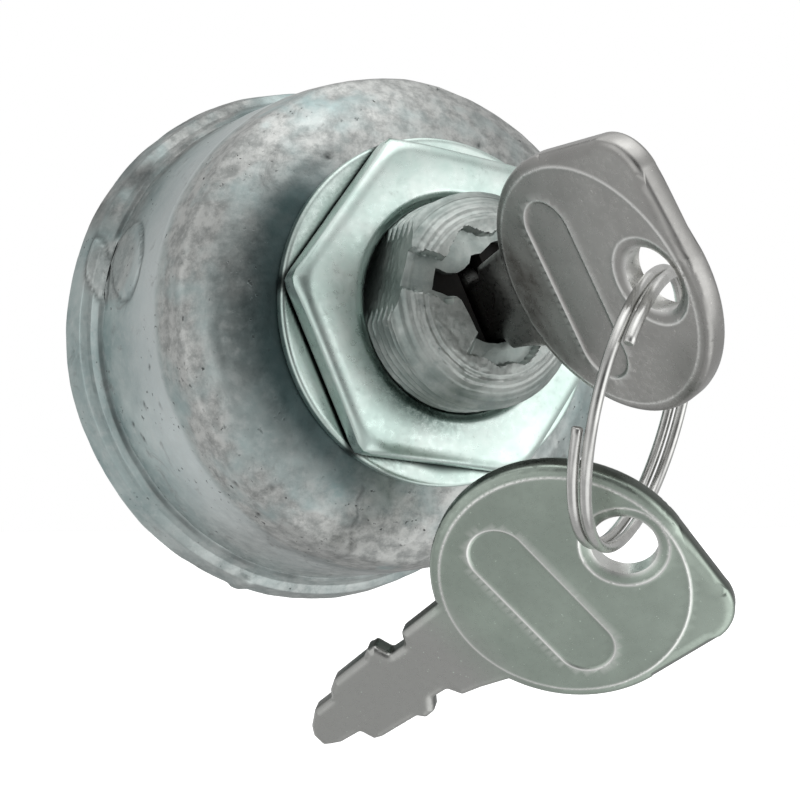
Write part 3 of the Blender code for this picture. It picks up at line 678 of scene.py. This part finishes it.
def key_face(points, edge):
    """Height of the key's face over its middle plane, from the distance to its edge."""
    e = np.clip(1 - edge / KEY_EDGE, 0, 1)
    height = KEY / 2 - KEY_EDGE * 0.75 * (1 - np.sqrt(1 - e * e))
    label = label_distance(points)
    height -= 0.09 * (1 - step(label + LINE, 2 * LINE))
    height += RAISED * np.exp(-((label - LINE) / (0.9 * LINE)) ** 2)
    circle = np.hypot(points[:, 0] - HEAD_OUT, points[:, 1]) - CIRCLE_LINE_R
    height -= 0.05 * step(circle, 2 * LINE)
    height += RAISED * np.exp(-(circle / (0.9 * LINE)) ** 2)
    hole = from_hole(points)
    dish = np.clip((HOLE_LINE_R - hole) / (HOLE_LINE_R - KEY_HOLE_R), 0, 1)
    height -= 0.05 * step(HOLE_LINE_R - hole, 2 * LINE) + 0.22 * dish ** 2
    height += RAISED * np.exp(-((hole - HOLE_LINE_R) / (0.9 * LINE)) ** 2)
    return height


def line_points():
    """Points on both sides of each embossed line, so that it is cut sharply."""
    found = []
    for shift in (-2 * LINE, -LINE, 0, LINE, 2 * LINE):
        found += arc((HEAD_OUT, 0), CIRCLE_LINE_R + shift, -180, 180, 230)[:-1]
        found += arc((KEY_HOLE_OUT, 0), HOLE_LINE_R + shift, 0, 360, 72)[:-1]
        r = LABEL_R + shift - LINE / 2
        found += arc((LABEL_OUT, LABEL_HALF), r, 0, 180, 30) + arc((LABEL_OUT, -LABEL_HALF), r, 180, 360, 30)
        for i in range(1, 50):
            y = -LABEL_HALF + 2 * LABEL_HALF * i / 50
            found += [(LABEL_OUT + r, y), (LABEL_OUT - r, y)]
    for shift in (0.15, 0.3, 0.5):
        found += arc((KEY_HOLE_OUT, 0), KEY_HOLE_R + shift, 0, 360, 60)[:-1]
    return found


def shrunk(loop, distance):
    """The loop moved inwards by a distance, point by point."""
    before, after = np.roll(loop, 1, axis=0), np.roll(loop, -1, axis=0)
    along = after - before
    along /= np.linalg.norm(along, axis=1, keepdims=True) + 1e-12
    return loop + distance * np.stack((-along[:, 1], along[:, 0]), axis=1)


def from_hole(points):
    """Distance of each point from the middle of the key's hole."""
    return np.hypot(points[:, 0] - KEY_HOLE_OUT, points[:, 1])


def face_points(outline):
    """Points spread over the key's face, close together along its lines and its edge."""
    inner = [shrunk(outline, d) for d in (0.05, 0.11, 0.19, 0.29, 0.41, KEY_EDGE, 0.8)]
    across = np.arange(-9.4, 9.4, KEY_GRID)
    grid = [(x, y) for x in np.arange(-BLADE_TIP, 12, KEY_GRID) for y in across]
    found = np.vstack([*inner, np.array(line_points()), np.array(grid)])
    clear = (distance_to(found, outline) > 0.04) & (from_hole(found) - KEY_HOLE_R > 0.05)
    return np.unique(np.round(found[inside(found, outline) & clear], 3), axis=0)


def make_key_mesh():
    """Points and faces of a key in its own frame, in millimetres."""
    outline = np.array(key_outline())
    hole = np.array(arc((KEY_HOLE_OUT, 0), KEY_HOLE_R, 0, 360, 64)[:-1])
    points = np.vstack([outline, hole, face_points(outline)])
    n, m = len(outline), len(hole)
    edges = [(i, (i + 1) % n) for i in range(n)] + [(n + i, n + (i + 1) % m) for i in range(m)]
    flat, _, faces, _, _, _ = delaunay_2d_cdt([Vector(p) for p in points], edges, [], 0, 1e-5)
    flat = np.array([tuple(p) for p in flat])
    middles = np.array([flat[list(f)].mean(axis=0) for f in faces])
    good = inside(middles, outline) & (from_hole(middles) > KEY_HOLE_R * 0.998)
    faces = [f for f, g in zip(faces, good) if g]
    height = key_face(flat, distance_to(flat, outline))
    count = len(flat)
    top = [(x, y, h) for (x, y), h in zip(flat, height)]
    bottom = [(x, y, -h) for (x, y), h in zip(flat, height)]
    solid = [tuple(f) for f in faces] + [tuple(i + count for i in reversed(f)) for f in faces]
    borders = {}
    for f in faces:
        for a, b in zip(f, f[1:] + f[:1]):
            borders[(a, b)] = borders.get((a, b), 0) + 1
    walls = [(a, b) for a, b in borders if (b, a) not in borders]
    solid += [(b, a, a + count, b + count) for a, b in walls]
    return top + bottom, solid, flat


def line_wear(flat):
    """How bright the plate is worn along the embossed lines and round the key's hole, from 0 to 1."""
    label = label_distance(flat)
    circle = np.hypot(flat[:, 0] - HEAD_OUT, flat[:, 1]) - CIRCLE_LINE_R
    hole = from_hole(flat)
    wear = np.exp(-((label - LINE / 2) / LINE) ** 2)
    wear = np.maximum(wear, 0.9 * np.exp(-(circle / LINE) ** 2))
    wear = np.maximum(wear, np.exp(-((hole - HOLE_LINE_R) / LINE) ** 2))
    return np.maximum(wear, 0.8 * np.exp(-((hole - KEY_HOLE_R) / 0.16) ** 2))


def wall_painted_shade(flat):
    """1 on the cut side wall of a key, 0 on its faces: where the side wall is painted dark as shade."""
    outline = np.array(key_outline())
    return np.clip(1 - distance_to(flat, outline) / 0.05, 0, 1)


def smear(flat):
    """Where grease from the lock has dried on the first key's face, from 0 to 1."""
    patches = np.array([noise.fractal(Vector((x * 0.5, y * 0.32, 6.0)), 0.6, 2.0, 4) for x, y in flat])
    near = np.clip((0.5 - flat[:, 0]) / 7.0, 0, 1) ** 1.2
    middle = np.exp(-((flat[:, 1] + 0.5) / 4.6) ** 4)
    return np.clip(near * (0.25 + 0.75 * middle) * (0.7 + 1.4 * patches), 0, 1) * 0.85


def paint(piece, name, values):
    """Stores one value a point on the piece, for its material."""
    layer = piece.data.attributes.new(name, "FLOAT", "POINT")
    layer.data.foreach_set("value", np.ascontiguousarray(values, dtype=np.float32))


def key_place():
    """The key's frame in the rotor's frame at RUN, in millimetres, and on to the world."""
    stand = Matrix(((0, 0, -1, 0), (0, 1, 0, 0), (1, 0, 0, KEY_STAND), (0, 0, 0, 1)))
    droop = Matrix.Rotation(math.radians(KEY_DROOP), 4, "X")
    pivot = Matrix.Translation((0, 0, KEY_PIVOT))
    rotor = Matrix.Rotation(math.radians(RUN_ANGLE - 90), 4, "Z")
    lay = Matrix.Rotation(math.radians(90), 4, "X")
    return Matrix.Scale(MM, 4) @ lay @ rotor @ pivot @ droop @ pivot.inverted() @ stand


def ring_axes():
    azimuth, tilt = math.radians(RING_AZIMUTH), math.radians(RING_TILT)
    normal = Vector((math.cos(azimuth) * math.cos(tilt), math.sin(azimuth) * math.cos(tilt),
                     math.sin(tilt)))
    level = normal.cross(Vector((0, 0, 1))).normalized()
    return Matrix((level, normal.cross(level), normal)).transposed()


def around_ring(degrees):
    a = math.radians(degrees)
    return Vector((RING_R * math.sin(a), RING_R * math.cos(a), 0)) * MM


def ring_centre():
    hole = key_place() @ Vector((KEY_HOLE_OUT, 0, 0))
    rest = around_ring(RING_HANG) * (1 + RING_SAG / RING_R) + Vector((0, 0, RING_SLIDE * MM))
    return hole + ring_axes() @ rest


def spare_place():
    """The spare key's frame in the world."""
    hole = ring_centre() + ring_axes() @ around_ring(SPARE_ALONG_RING)
    turn = Euler([math.radians(a) for a in SPARE_TURN]).to_matrix().to_4x4()
    back = Matrix.Translation((SPARE_SLIDE - KEY_HOLE_OUT, SPARE_SAG, 0))
    return Matrix.Translation(hole) @ turn @ Matrix.Scale(MM, 4) @ back


def twisted(point):
    """A point of the first key, its head wrung a little about the blade."""
    x, y, z = point
    blend = smooth_step(x, TWIST_FROM, TWIST_TO)
    bend, turn = math.radians(KEY_BEND) * blend, math.radians(KEY_TWIST) * blend
    x, y = x * math.cos(bend) - y * math.sin(bend), x * math.sin(bend) + y * math.cos(bend)
    return x, y * math.cos(turn) - z * math.sin(turn), y * math.sin(turn) + z * math.cos(turn)


def make_keys():
    points, faces, flat = make_key_mesh()
    first = mesh_piece("key_in_lock", [twisted(p) for p in points], faces, key_place(), smooth=50)
    spare = mesh_piece("key_on_ring", points, faces, spare_place(), smooth=50)
    for piece, greased_not_shaded in ((first, 1.0), (spare, 0.0)):
        paint(piece, "wear", np.tile(line_wear(flat), 2))
        paint(piece, "smear", np.tile(greased_not_shaded * smear(flat), 2))
        # The spare key's cut side wall is painted dark as shade; the first key gets the grease smear
        # instead.
        paint(piece, "wall", np.tile((1 - greased_not_shaded) * wall_painted_shade(flat), 2))
        paint(piece, "blade", np.tile(np.clip((-4.5 - flat[:, 0]) / 4.0, 0, 1), 2))
    return first, spare


def make_ring():
    """Two turns of round wire, swept from rings of points."""
    turn, centre = ring_axes(), ring_centre()
    count, sides = RING_STEPS, RING_SIDES
    points = []
    for i in range(-1, count + 2):
        at = min(max(i, 0), count)
        a = math.radians(RING_END) + math.tau * RING_TURNS * at / count
        rise = RING_PITCH * RING_TURNS * (at / count - 0.5)
        wire = RING_WIRE_R * (1.0 if i == at else 0.8)
        a += RING_TIP * (i - at)
        out = Vector((math.cos(a), math.sin(a), 0))
        for k in range(sides):
            b = math.tau * k / sides
            p = out * (RING_R + wire * math.cos(b)) + Vector((0, 0, rise + wire * math.sin(b)))
            points.append(centre + turn @ (p * MM))
    rows = count + 3
    faces = grid_faces(rows, sides)
    faces += [tuple(range(sides)), tuple(range(rows * sides - 1, (rows - 1) * sides - 1, -1))]
    ring = mesh_piece("key_ring_wire", points, faces, smooth=50)
    turn_out(ring.data)
    return ring


# Materials
class Nodes:
    """Short calls for building a material's node tree."""

    def __init__(self, name):
        self.material = bpy.data.materials.new(name)
        self.material.use_nodes = True
        self.tree = self.material.node_tree
        self.shader = self.tree.nodes["Principled BSDF"]
        self.place = self.add("ShaderNodeTexCoord").outputs["Object"]

    def add(self, kind, **settings):
        node = self.tree.nodes.new(kind)
        for key, value in settings.items():
            setattr(node, key, value)
        return node

    def join(self, value, socket):
        if isinstance(value, (int, float)):
            socket.default_value = value
        elif isinstance(value, tuple):
            socket.default_value = (*value, 1.0) if len(value) == 3 else value
        else:
            self.tree.links.new(value, socket)

    def noise(self, size, detail=4.0, roughness=0.55, warp=0.0):
        """Noise from 0 to 1 whose features are about size millimetres across."""
        node = self.add("ShaderNodeTexNoise")
        node.inputs["Scale"].default_value = 1.0 / (size * MM)
        node.inputs["Detail"].default_value = detail
        node.inputs["Roughness"].default_value = roughness
        node.inputs["Distortion"].default_value = warp
        self.join(self.place, node.inputs["Vector"])
        return node.outputs["Fac"]

    def ramp(self, value, low, high, out_low=0.0, out_high=1.0):
        node = self.add("ShaderNodeMapRange")
        node.interpolation_type = "SMOOTHSTEP"
        node.inputs["From Min"].default_value = low
        node.inputs["From Max"].default_value = high
        node.inputs["To Min"].default_value = out_low
        node.inputs["To Max"].default_value = out_high
        self.join(value, node.inputs["Value"])
        return node.outputs["Result"]

    def mark(self, name):
        """A value from 0 to 1 that was painted on the piece's points."""
        node = self.add("ShaderNodeAttribute", attribute_name=name)
        return node.outputs["Fac"]

    def math(self, operation, a, b=0.0):
        node = self.add("ShaderNodeMath", operation=operation)
        self.join(a, node.inputs[0])
        self.join(b, node.inputs[1])
        return node.outputs[0]

    def mix(self, factor, a, b):
        node = self.add("ShaderNodeMix", data_type="RGBA")
        self.join(factor, node.inputs["Factor"])
        self.join(a, node.inputs["A"])
        self.join(b, node.inputs["B"])
        return node.outputs["Result"]

    def bump(self, height, depth, strength=1.0, under=None):
        node = self.add("ShaderNodeBump")
        node.inputs["Distance"].default_value = depth * MM
        node.inputs["Strength"].default_value = strength
        self.join(height, node.inputs["Height"])
        if under is not None:
            self.join(under, node.inputs["Normal"])
        return node.outputs["Normal"]

    def axis_distance(self):
        """Distance from the switch's axis and the place along x, y and z, in metres."""
        parts = self.add("ShaderNodeSeparateXYZ")
        self.join(self.place, parts.inputs[0])
        x2 = self.math("MULTIPLY", parts.outputs["X"], parts.outputs["X"])
        z2 = self.math("MULTIPLY", parts.outputs["Z"], parts.outputs["Z"])
        return self.math("SQRT", self.math("ADD", x2, z2)), parts.outputs

    def finish(self, colour, roughness, metallic=1.0, normal=None):
        self.join(colour, self.shader.inputs["Base Color"])
        self.join(roughness, self.shader.inputs["Roughness"])
        self.shader.inputs["Metallic"].default_value = metallic
        if normal is not None:
            self.join(normal, self.shader.inputs["Normal"])
        return self.material


def cast_zinc():
    """Dull die-cast zinc: clouded blue-grey, brownish skin on the shoulder, grime in every low mark, and
    painted shade beside the nut, under the dome's edge and on the upper-left wall.
    """
    n = Nodes("cast_zinc")
    _, axes = n.axis_distance()
    cloud = n.ramp(n.noise(6.0, 5, 0.6), 0.33, 0.68)
    fine = n.noise(0.7, 6, 0.65)
    colour = n.mix(cloud, (0.31, 0.40, 0.40), (0.50, 0.575, 0.565))
    grain = n.noise(1.3, 6, 0.75)
    warm = n.mix(n.ramp(grain, 0.35, 0.63), (0.305, 0.318, 0.31), (0.56, 0.572, 0.555))
    wall = n.math("MULTIPLY", n.ramp(axes["Y"], 0.0068, 0.0078), n.ramp(axes["Y"], 0.0165, 0.0085))
    colour = n.mix(n.math("MULTIPLY", wall, 0.75), colour, (0.70, 0.75, 0.75))
    colour = n.mix(n.mark("warm"), colour, warm)
    colour = n.mix(n.ramp(fine, 0.45, 0.8, 0, 0.5), colour, (0.66, 0.68, 0.67))
    smudge = n.ramp(n.noise(3.4, 6, 0.72, warp=0.8), 0.56, 0.72, 0, 0.6)
    colour = n.mix(smudge, colour, (0.22, 0.23, 0.225))
    # Painted shade: dark teal on the dome beside the nut, in the crease under the dome's lower edge and on
    # the upper-left wall.
    colour = n.mix(n.math("MULTIPLY", n.mark("shade"), 0.9), colour, (0.030, 0.062, 0.064))
    dot, patch = n.ramp(n.noise(0.45, 2, 0.5), 0.66, 0.72), n.ramp(n.noise(4.0, 3), 0.48, 0.62)
    speck = n.math("MULTIPLY", dot, patch)
    dark = n.math("MAXIMUM", n.mark("dark"), n.math("MULTIPLY", speck, 0.75))
    colour = n.mix(dark, colour, (0.035, 0.04, 0.04))
    roughness = n.math("ADD", n.ramp(cloud, 0, 1, 0.40, 0.30), n.ramp(fine, 0.3, 0.8, 0.0, 0.16))
    roughness = n.math("ADD", roughness, n.math("MULTIPLY", dark, 0.3))
    height = n.math("SUBTRACT", n.math("MULTIPLY", fine, 0.5), n.math("MULTIPLY", dark, 0.8))
    normal = n.bump(height, 0.05, 0.7, n.bump(n.noise(2.5, 3), 0.08, 0.6))
    return n.finish(colour, roughness, 0.95, normal)


def stem_zinc():
    """The machined and hammered stem: grey-green, its torn end paler, painted near black inside the bore as
    shade.
    """
    n = Nodes("stem_zinc")
    radius, axes = n.axis_distance()
    grain = n.noise(0.45, 6, 0.7)
    cloud = n.noise(2.0, 4, 0.6)
    colour = n.mix(n.ramp(cloud, 0.35, 0.7), (0.25, 0.295, 0.28), (0.40, 0.44, 0.42))
    colour = n.mix(n.ramp(grain, 0.60, 0.75, 0, 0.5), colour, (0.66, 0.69, 0.66))
    front = n.math("MULTIPLY", axes["Y"], -1.0)
    torn = n.math("MULTIPLY", n.ramp(front, 0.0080, 0.0087), n.ramp(grain, 0.35, 0.6, 0.25, 0.6))
    colour = n.mix(torn, colour, (0.56, 0.58, 0.56))
    colour = n.mix(n.ramp(grain, 0.36, 0.26, 0, 0.7), colour, (0.09, 0.10, 0.095))
    # Painted shade: near black inside the bore, under the lip and down the stem.
    bore_shade = n.math("MULTIPLY", n.ramp(front, 0.0079, 0.0072), n.ramp(radius, 0.0068, 0.0062))
    colour = n.mix(bore_shade, colour, (0.012, 0.010, 0.009))
    normal = n.bump(grain, 0.035, 0.8)
    return n.finish(colour, n.ramp(grain, 0.3, 0.7, 0.32, 0.5), 0.92, normal)


def rotor_shade_zinc():
    """The rotor down in the stem, painted near black as the shade down the keyway."""
    n = Nodes("rotor_shade_zinc")
    grain = n.noise(0.8, 5, 0.65)
    colour = n.mix(n.ramp(grain, 0.35, 0.75), (0.003, 0.003, 0.0025), (0.014, 0.012, 0.010))
    return n.finish(colour, n.ramp(grain, 0.3, 0.7, 0.65, 0.85), 0.3, n.bump(grain, 0.05, 0.8))


def nut_plate():
    """Bright zinc plate with a green cast, fine specks, scuffs and a grainy dark smudge, with painted shade
    on the washer's upper-left side and painted shadow where the nut meets the washer.
    """
    n = Nodes("nut_plate")
    cloud = n.noise(4.5, 4, 0.6)
    colour = n.mix(n.ramp(cloud, 0.35, 0.7), (0.60, 0.74, 0.69), (0.74, 0.83, 0.79))
    grain = n.noise(0.3, 4, 0.75)
    speck = n.ramp(grain, 0.64, 0.76, 0, 0.7)
    colour = n.mix(speck, colour, (0.30, 0.36, 0.33))
    stain = n.math("MULTIPLY", n.ramp(n.noise(3.2, 4, 0.7), 0.55, 0.7), n.ramp(grain, 0.45, 0.6))
    colour = n.mix(n.math("MULTIPLY", stain, 0.3), colour, (0.30, 0.36, 0.33))
    # The grainy dark smudge on the nut's face; on the washer this mark is painted shade on its upper-left
    # side.
    grainy = n.math("MULTIPLY", n.mark("shade"), n.ramp(grain, 0.35, 0.6, 0.45, 1.0))
    colour = n.mix(grainy, colour, (0.17, 0.23, 0.21))
    # Painted shadow: near black along the nut's rear edge and on the washer round the nut.
    colour = n.mix(n.math("MULTIPLY", n.mark("dark"), 0.96), colour, (0.012, 0.016, 0.015))
    scuff = n.noise(0.6, 5, 0.7)
    roughness = n.ramp(scuff, 0.3, 0.8, 0.26, 0.40)
    normal = n.bump(scuff, 0.008, 0.7, n.bump(cloud, 0.05, 0.6))
    return n.finish(colour, roughness, 1.0, normal)


def key_nickel(name, tint):
    """Nickel plate, satin, faintly clouded, worn bright along its embossed lines, its side wall painted dark
    as shade where marked.
    """
    n = Nodes(name)
    cloud = n.noise(7.0, 4, 0.6)
    low = tuple(c * 0.84 for c in tint)
    colour = n.mix(n.ramp(cloud, 0.35, 0.7), low, tint)
    smudge = n.ramp(n.noise(2.0, 5, 0.65), 0.5, 0.75, 0, 0.25)
    colour = n.mix(smudge, colour, tuple(c * 0.7 for c in tint))
    grease = n.mark("smear")
    grain = n.ramp(n.noise(0.5, 5, 0.75), 0.3, 0.7, 0.55, 1.0)
    colour = n.mix(n.math("MULTIPLY", grease, grain), colour, (0.075, 0.058, 0.048))
    speck = n.ramp(n.noise(0.25, 2, 0.6), 0.70, 0.76, 0, 0.6)
    colour = n.mix(n.math("MULTIPLY", n.mark("blade"), 0.85), colour, (0.45, 0.445, 0.435))
    colour = n.mix(speck, colour, tuple(min(1.0, c * 1.9) for c in tint))
    # Painted shade: the spare key's side wall darkened.
    colour = n.mix(n.math("MULTIPLY", n.mark("wall"), 0.85), colour, (0.07, 0.08, 0.07))
    colour = n.mix(n.mark("wear"), colour, (0.95, 0.95, 0.93))
    fine = n.noise(0.4, 5, 0.7)
    normal = n.bump(fine, 0.003, 0.6, n.bump(cloud, 0.03, 0.5))
    return n.finish(colour, n.ramp(fine, 0.3, 0.7, 0.25, 0.36), 1.0, normal)


def plain_metal(name, colour, roughness, grain=1.0):
    n = Nodes(name)
    fine = n.noise(grain, 5, 0.6)
    darkened = tuple(c * 0.72 for c in colour)
    shade = n.mix(n.ramp(fine, 0.3, 0.75), darkened, colour)
    normal = n.bump(fine, 0.015, 0.7)
    return n.finish(shade, n.ramp(fine, 0.3, 0.7, roughness, roughness + 0.14), 1.0, normal)


def phenolic():
    n = Nodes("phenolic_black")
    grain = n.noise(0.8, 6, 0.7)
    colour = n.mix(n.ramp(grain, 0.35, 0.75), (0.012, 0.012, 0.013), (0.035, 0.034, 0.033))
    normal = n.bump(grain, 0.04, 0.8)
    return n.finish(colour, n.ramp(grain, 0.3, 0.7, 0.38, 0.6), 0.0, normal)


def dress(piece, material):
    piece.data.materials.clear()
    piece.data.materials.append(material)


def dress_nodes(nodes):
    """Materials for the CAD solids that stay."""
    brass = plain_metal("brass_sheet", (0.78, 0.60, 0.30), 0.26)
    steel = plain_metal("spring_steel", (0.50, 0.50, 0.49), 0.26)
    zinc = rotor_shade_zinc()
    black = phenolic()
    for name, obj in nodes.items():
        if name.startswith(("blade_terminal", "contact_rivet", "contact_bridge")):
            dress(obj, brass)
        elif name in ("terminal_base", "contact_carrier"):
            dress(obj, black)
        elif name == "rotor":
            dress(obj, zinc)
        else:
            dress(obj, steel)


def add_camera():
    data = bpy.data.cameras.new("camera")
    data.lens = CAMERA_LENS
    data.sensor_width = 36.0
    data.clip_start = 0.001
    camera = bpy.data.objects.new("camera", data)
    camera.location = CAMERA_PLACE
    camera.rotation_euler = (-CAMERA_BACK).to_track_quat("-Z", "Y").to_euler()
    bpy.context.scene.collection.objects.link(camera)
    bpy.context.scene.camera = camera


def add_light(name, place, target, size, watts):
    data = bpy.data.lights.new(name, "AREA")
    data.shape = "RECTANGLE"
    data.size, data.size_y = size
    data.energy = watts
    obj = bpy.data.objects.new(name, data)
    obj.location = place
    obj.rotation_euler = (Vector(target) - Vector(place)).to_track_quat("-Z", "Y").to_euler()
    bpy.context.scene.collection.objects.link(obj)


def add_floor(lowest):
    size = 3.0
    level = lowest - FLOOR_DROP * MM
    floor = mesh_piece("floor", [(-size, -size, level), (size, -size, level), (size, size, level),
                                 (-size, size, level)], [(0, 1, 2, 3)])
    data = bpy.data.materials.new("floor_white")
    data.use_nodes = True
    shader = data.node_tree.nodes["Principled BSDF"]
    shader.inputs["Base Color"].default_value = (0.9, 0.9, 0.9, 1)
    shader.inputs["Roughness"].default_value = 0.9
    shader.inputs["Specular IOR Level"].default_value = 0.0
    shader.inputs["Emission Color"].default_value = (1, 1, 1, 1)
    shader.inputs["Emission Strength"].default_value = FLOOR_GLOW
    floor.visible_glossy = False
    dress(floor, data)


# Studio seen by the metal: direction, half angle in degrees, how soft its edge is, brightness
STUDIO_BASE = 0.55
STUDIO = [((-0.45, -0.89, 0.05), 21, 13, 0.14),
          ((0.50, -0.84, -0.20), 22, 18, 1.7),
          ((0.0, -0.40, 0.92), 22, 16, 1.6),
          ((0.22, -0.42, -0.88), 25, 14, 1.3),
          ((-0.84, -0.12, -0.42), 17, 13, 0.95),
          ((-0.97, 0.05, 0.15), 18, 12, 1.0),
          ((0.33, 0.88, -0.33), 18, 12, 0.35),
          ((-0.30, 0.88, -0.38), 14, 10, 0.75)]
FLOOR_GLOW = 0.7


def studio_light(tree, place, direction, half_angle, edge):
    """1 within a round patch of the studio, fading to 0 across its edge."""
    dot = tree.nodes.new("ShaderNodeVectorMath")
    dot.operation = "DOT_PRODUCT"
    tree.links.new(place, dot.inputs[0])
    dot.inputs[1].default_value = Vector(direction).normalized()
    near = tree.nodes.new("ShaderNodeMapRange")
    near.interpolation_type = "SMOOTHSTEP"
    near.inputs["From Min"].default_value = math.cos(math.radians(half_angle + edge))
    near.inputs["From Max"].default_value = math.cos(math.radians(half_angle - edge))
    tree.links.new(dot.outputs["Value"], near.inputs["Value"])
    return near.outputs["Result"]


def add_world():
    """White to the camera. The metal reflects a studio with a dark side and a few large lights."""
    data = bpy.data.worlds.new("studio")
    bpy.context.scene.world = data
    data.use_nodes = True
    tree = data.node_tree
    back = tree.nodes["Background"]
    place = tree.nodes.new("ShaderNodeTexCoord").outputs["Generated"]
    level = None
    for direction, half_angle, edge, brightness in STUDIO:
        near = studio_light(tree, place, direction, half_angle, edge)
        mix = tree.nodes.new("ShaderNodeMix")
        mix.data_type = "FLOAT"
        tree.links.new(near, mix.inputs["Factor"])
        if level is None:
            mix.inputs["A"].default_value = STUDIO_BASE
        else:
            tree.links.new(level, mix.inputs["A"])
        mix.inputs["B"].default_value = brightness
        level = mix.outputs["Result"]
    path = tree.nodes.new("ShaderNodeLightPath")
    seen = tree.nodes.new("ShaderNodeMix")
    seen.data_type = "FLOAT"
    tree.links.new(path.outputs["Is Camera Ray"], seen.inputs["Factor"])
    tree.links.new(level, seen.inputs["A"])
    seen.inputs["B"].default_value = 1.0
    tree.links.new(seen.outputs["Result"], back.inputs["Strength"])
    back.inputs["Color"].default_value = (1.0, 1.0, 1.0, 1)


def main():
    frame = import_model()
    cad_box = [list(corner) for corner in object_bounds()]
    add_camera()
    cup, stem = make_cup(), make_stem()
    nut, washer = make_nut(), make_washer()
    first, spare = make_keys()
    ring = make_ring()

    for piece in (cup, stem):
        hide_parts("housing")
    for piece, node, slot in ((nut, "hex_nut", "plated_steel"), (washer, "washer", "plated_steel"),
                              (first, "ignition_key", "nickel"), (spare, "spare_key", "nickel"),
                              (ring, "split_ring", "wire")):
        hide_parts(node)
    for piece, body in ((cup, "housing"), (stem, "housing"), (nut, "housing"), (washer, "housing"),
                        (first, "rotor"), (spare, "spare_key"), (ring, "key_ring")):
        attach(piece, body)

    dress_nodes(frame["nodes"])
    plate = nut_plate()
    for piece, material in ((cup, cast_zinc()), (stem, stem_zinc()), (nut, plate), (washer, plate),
                            (first, key_nickel("key_nickel_grey", (0.46, 0.455, 0.44))),
                            (spare, key_nickel("key_nickel_green", (0.43, 0.50, 0.44))),
                            (ring, plain_metal("ring_steel", (0.72, 0.72, 0.70), 0.16, 2.0))):
        dress(piece, material)

    add_floor(cad_box[0][2])
    add_world()
    add_light("top", (-0.05, 0.05, 0.5), (0, 0, 0), (0.6, 0.6), 0.5)
    bpy.context.scene.view_settings.view_transform = "Standard"


main()
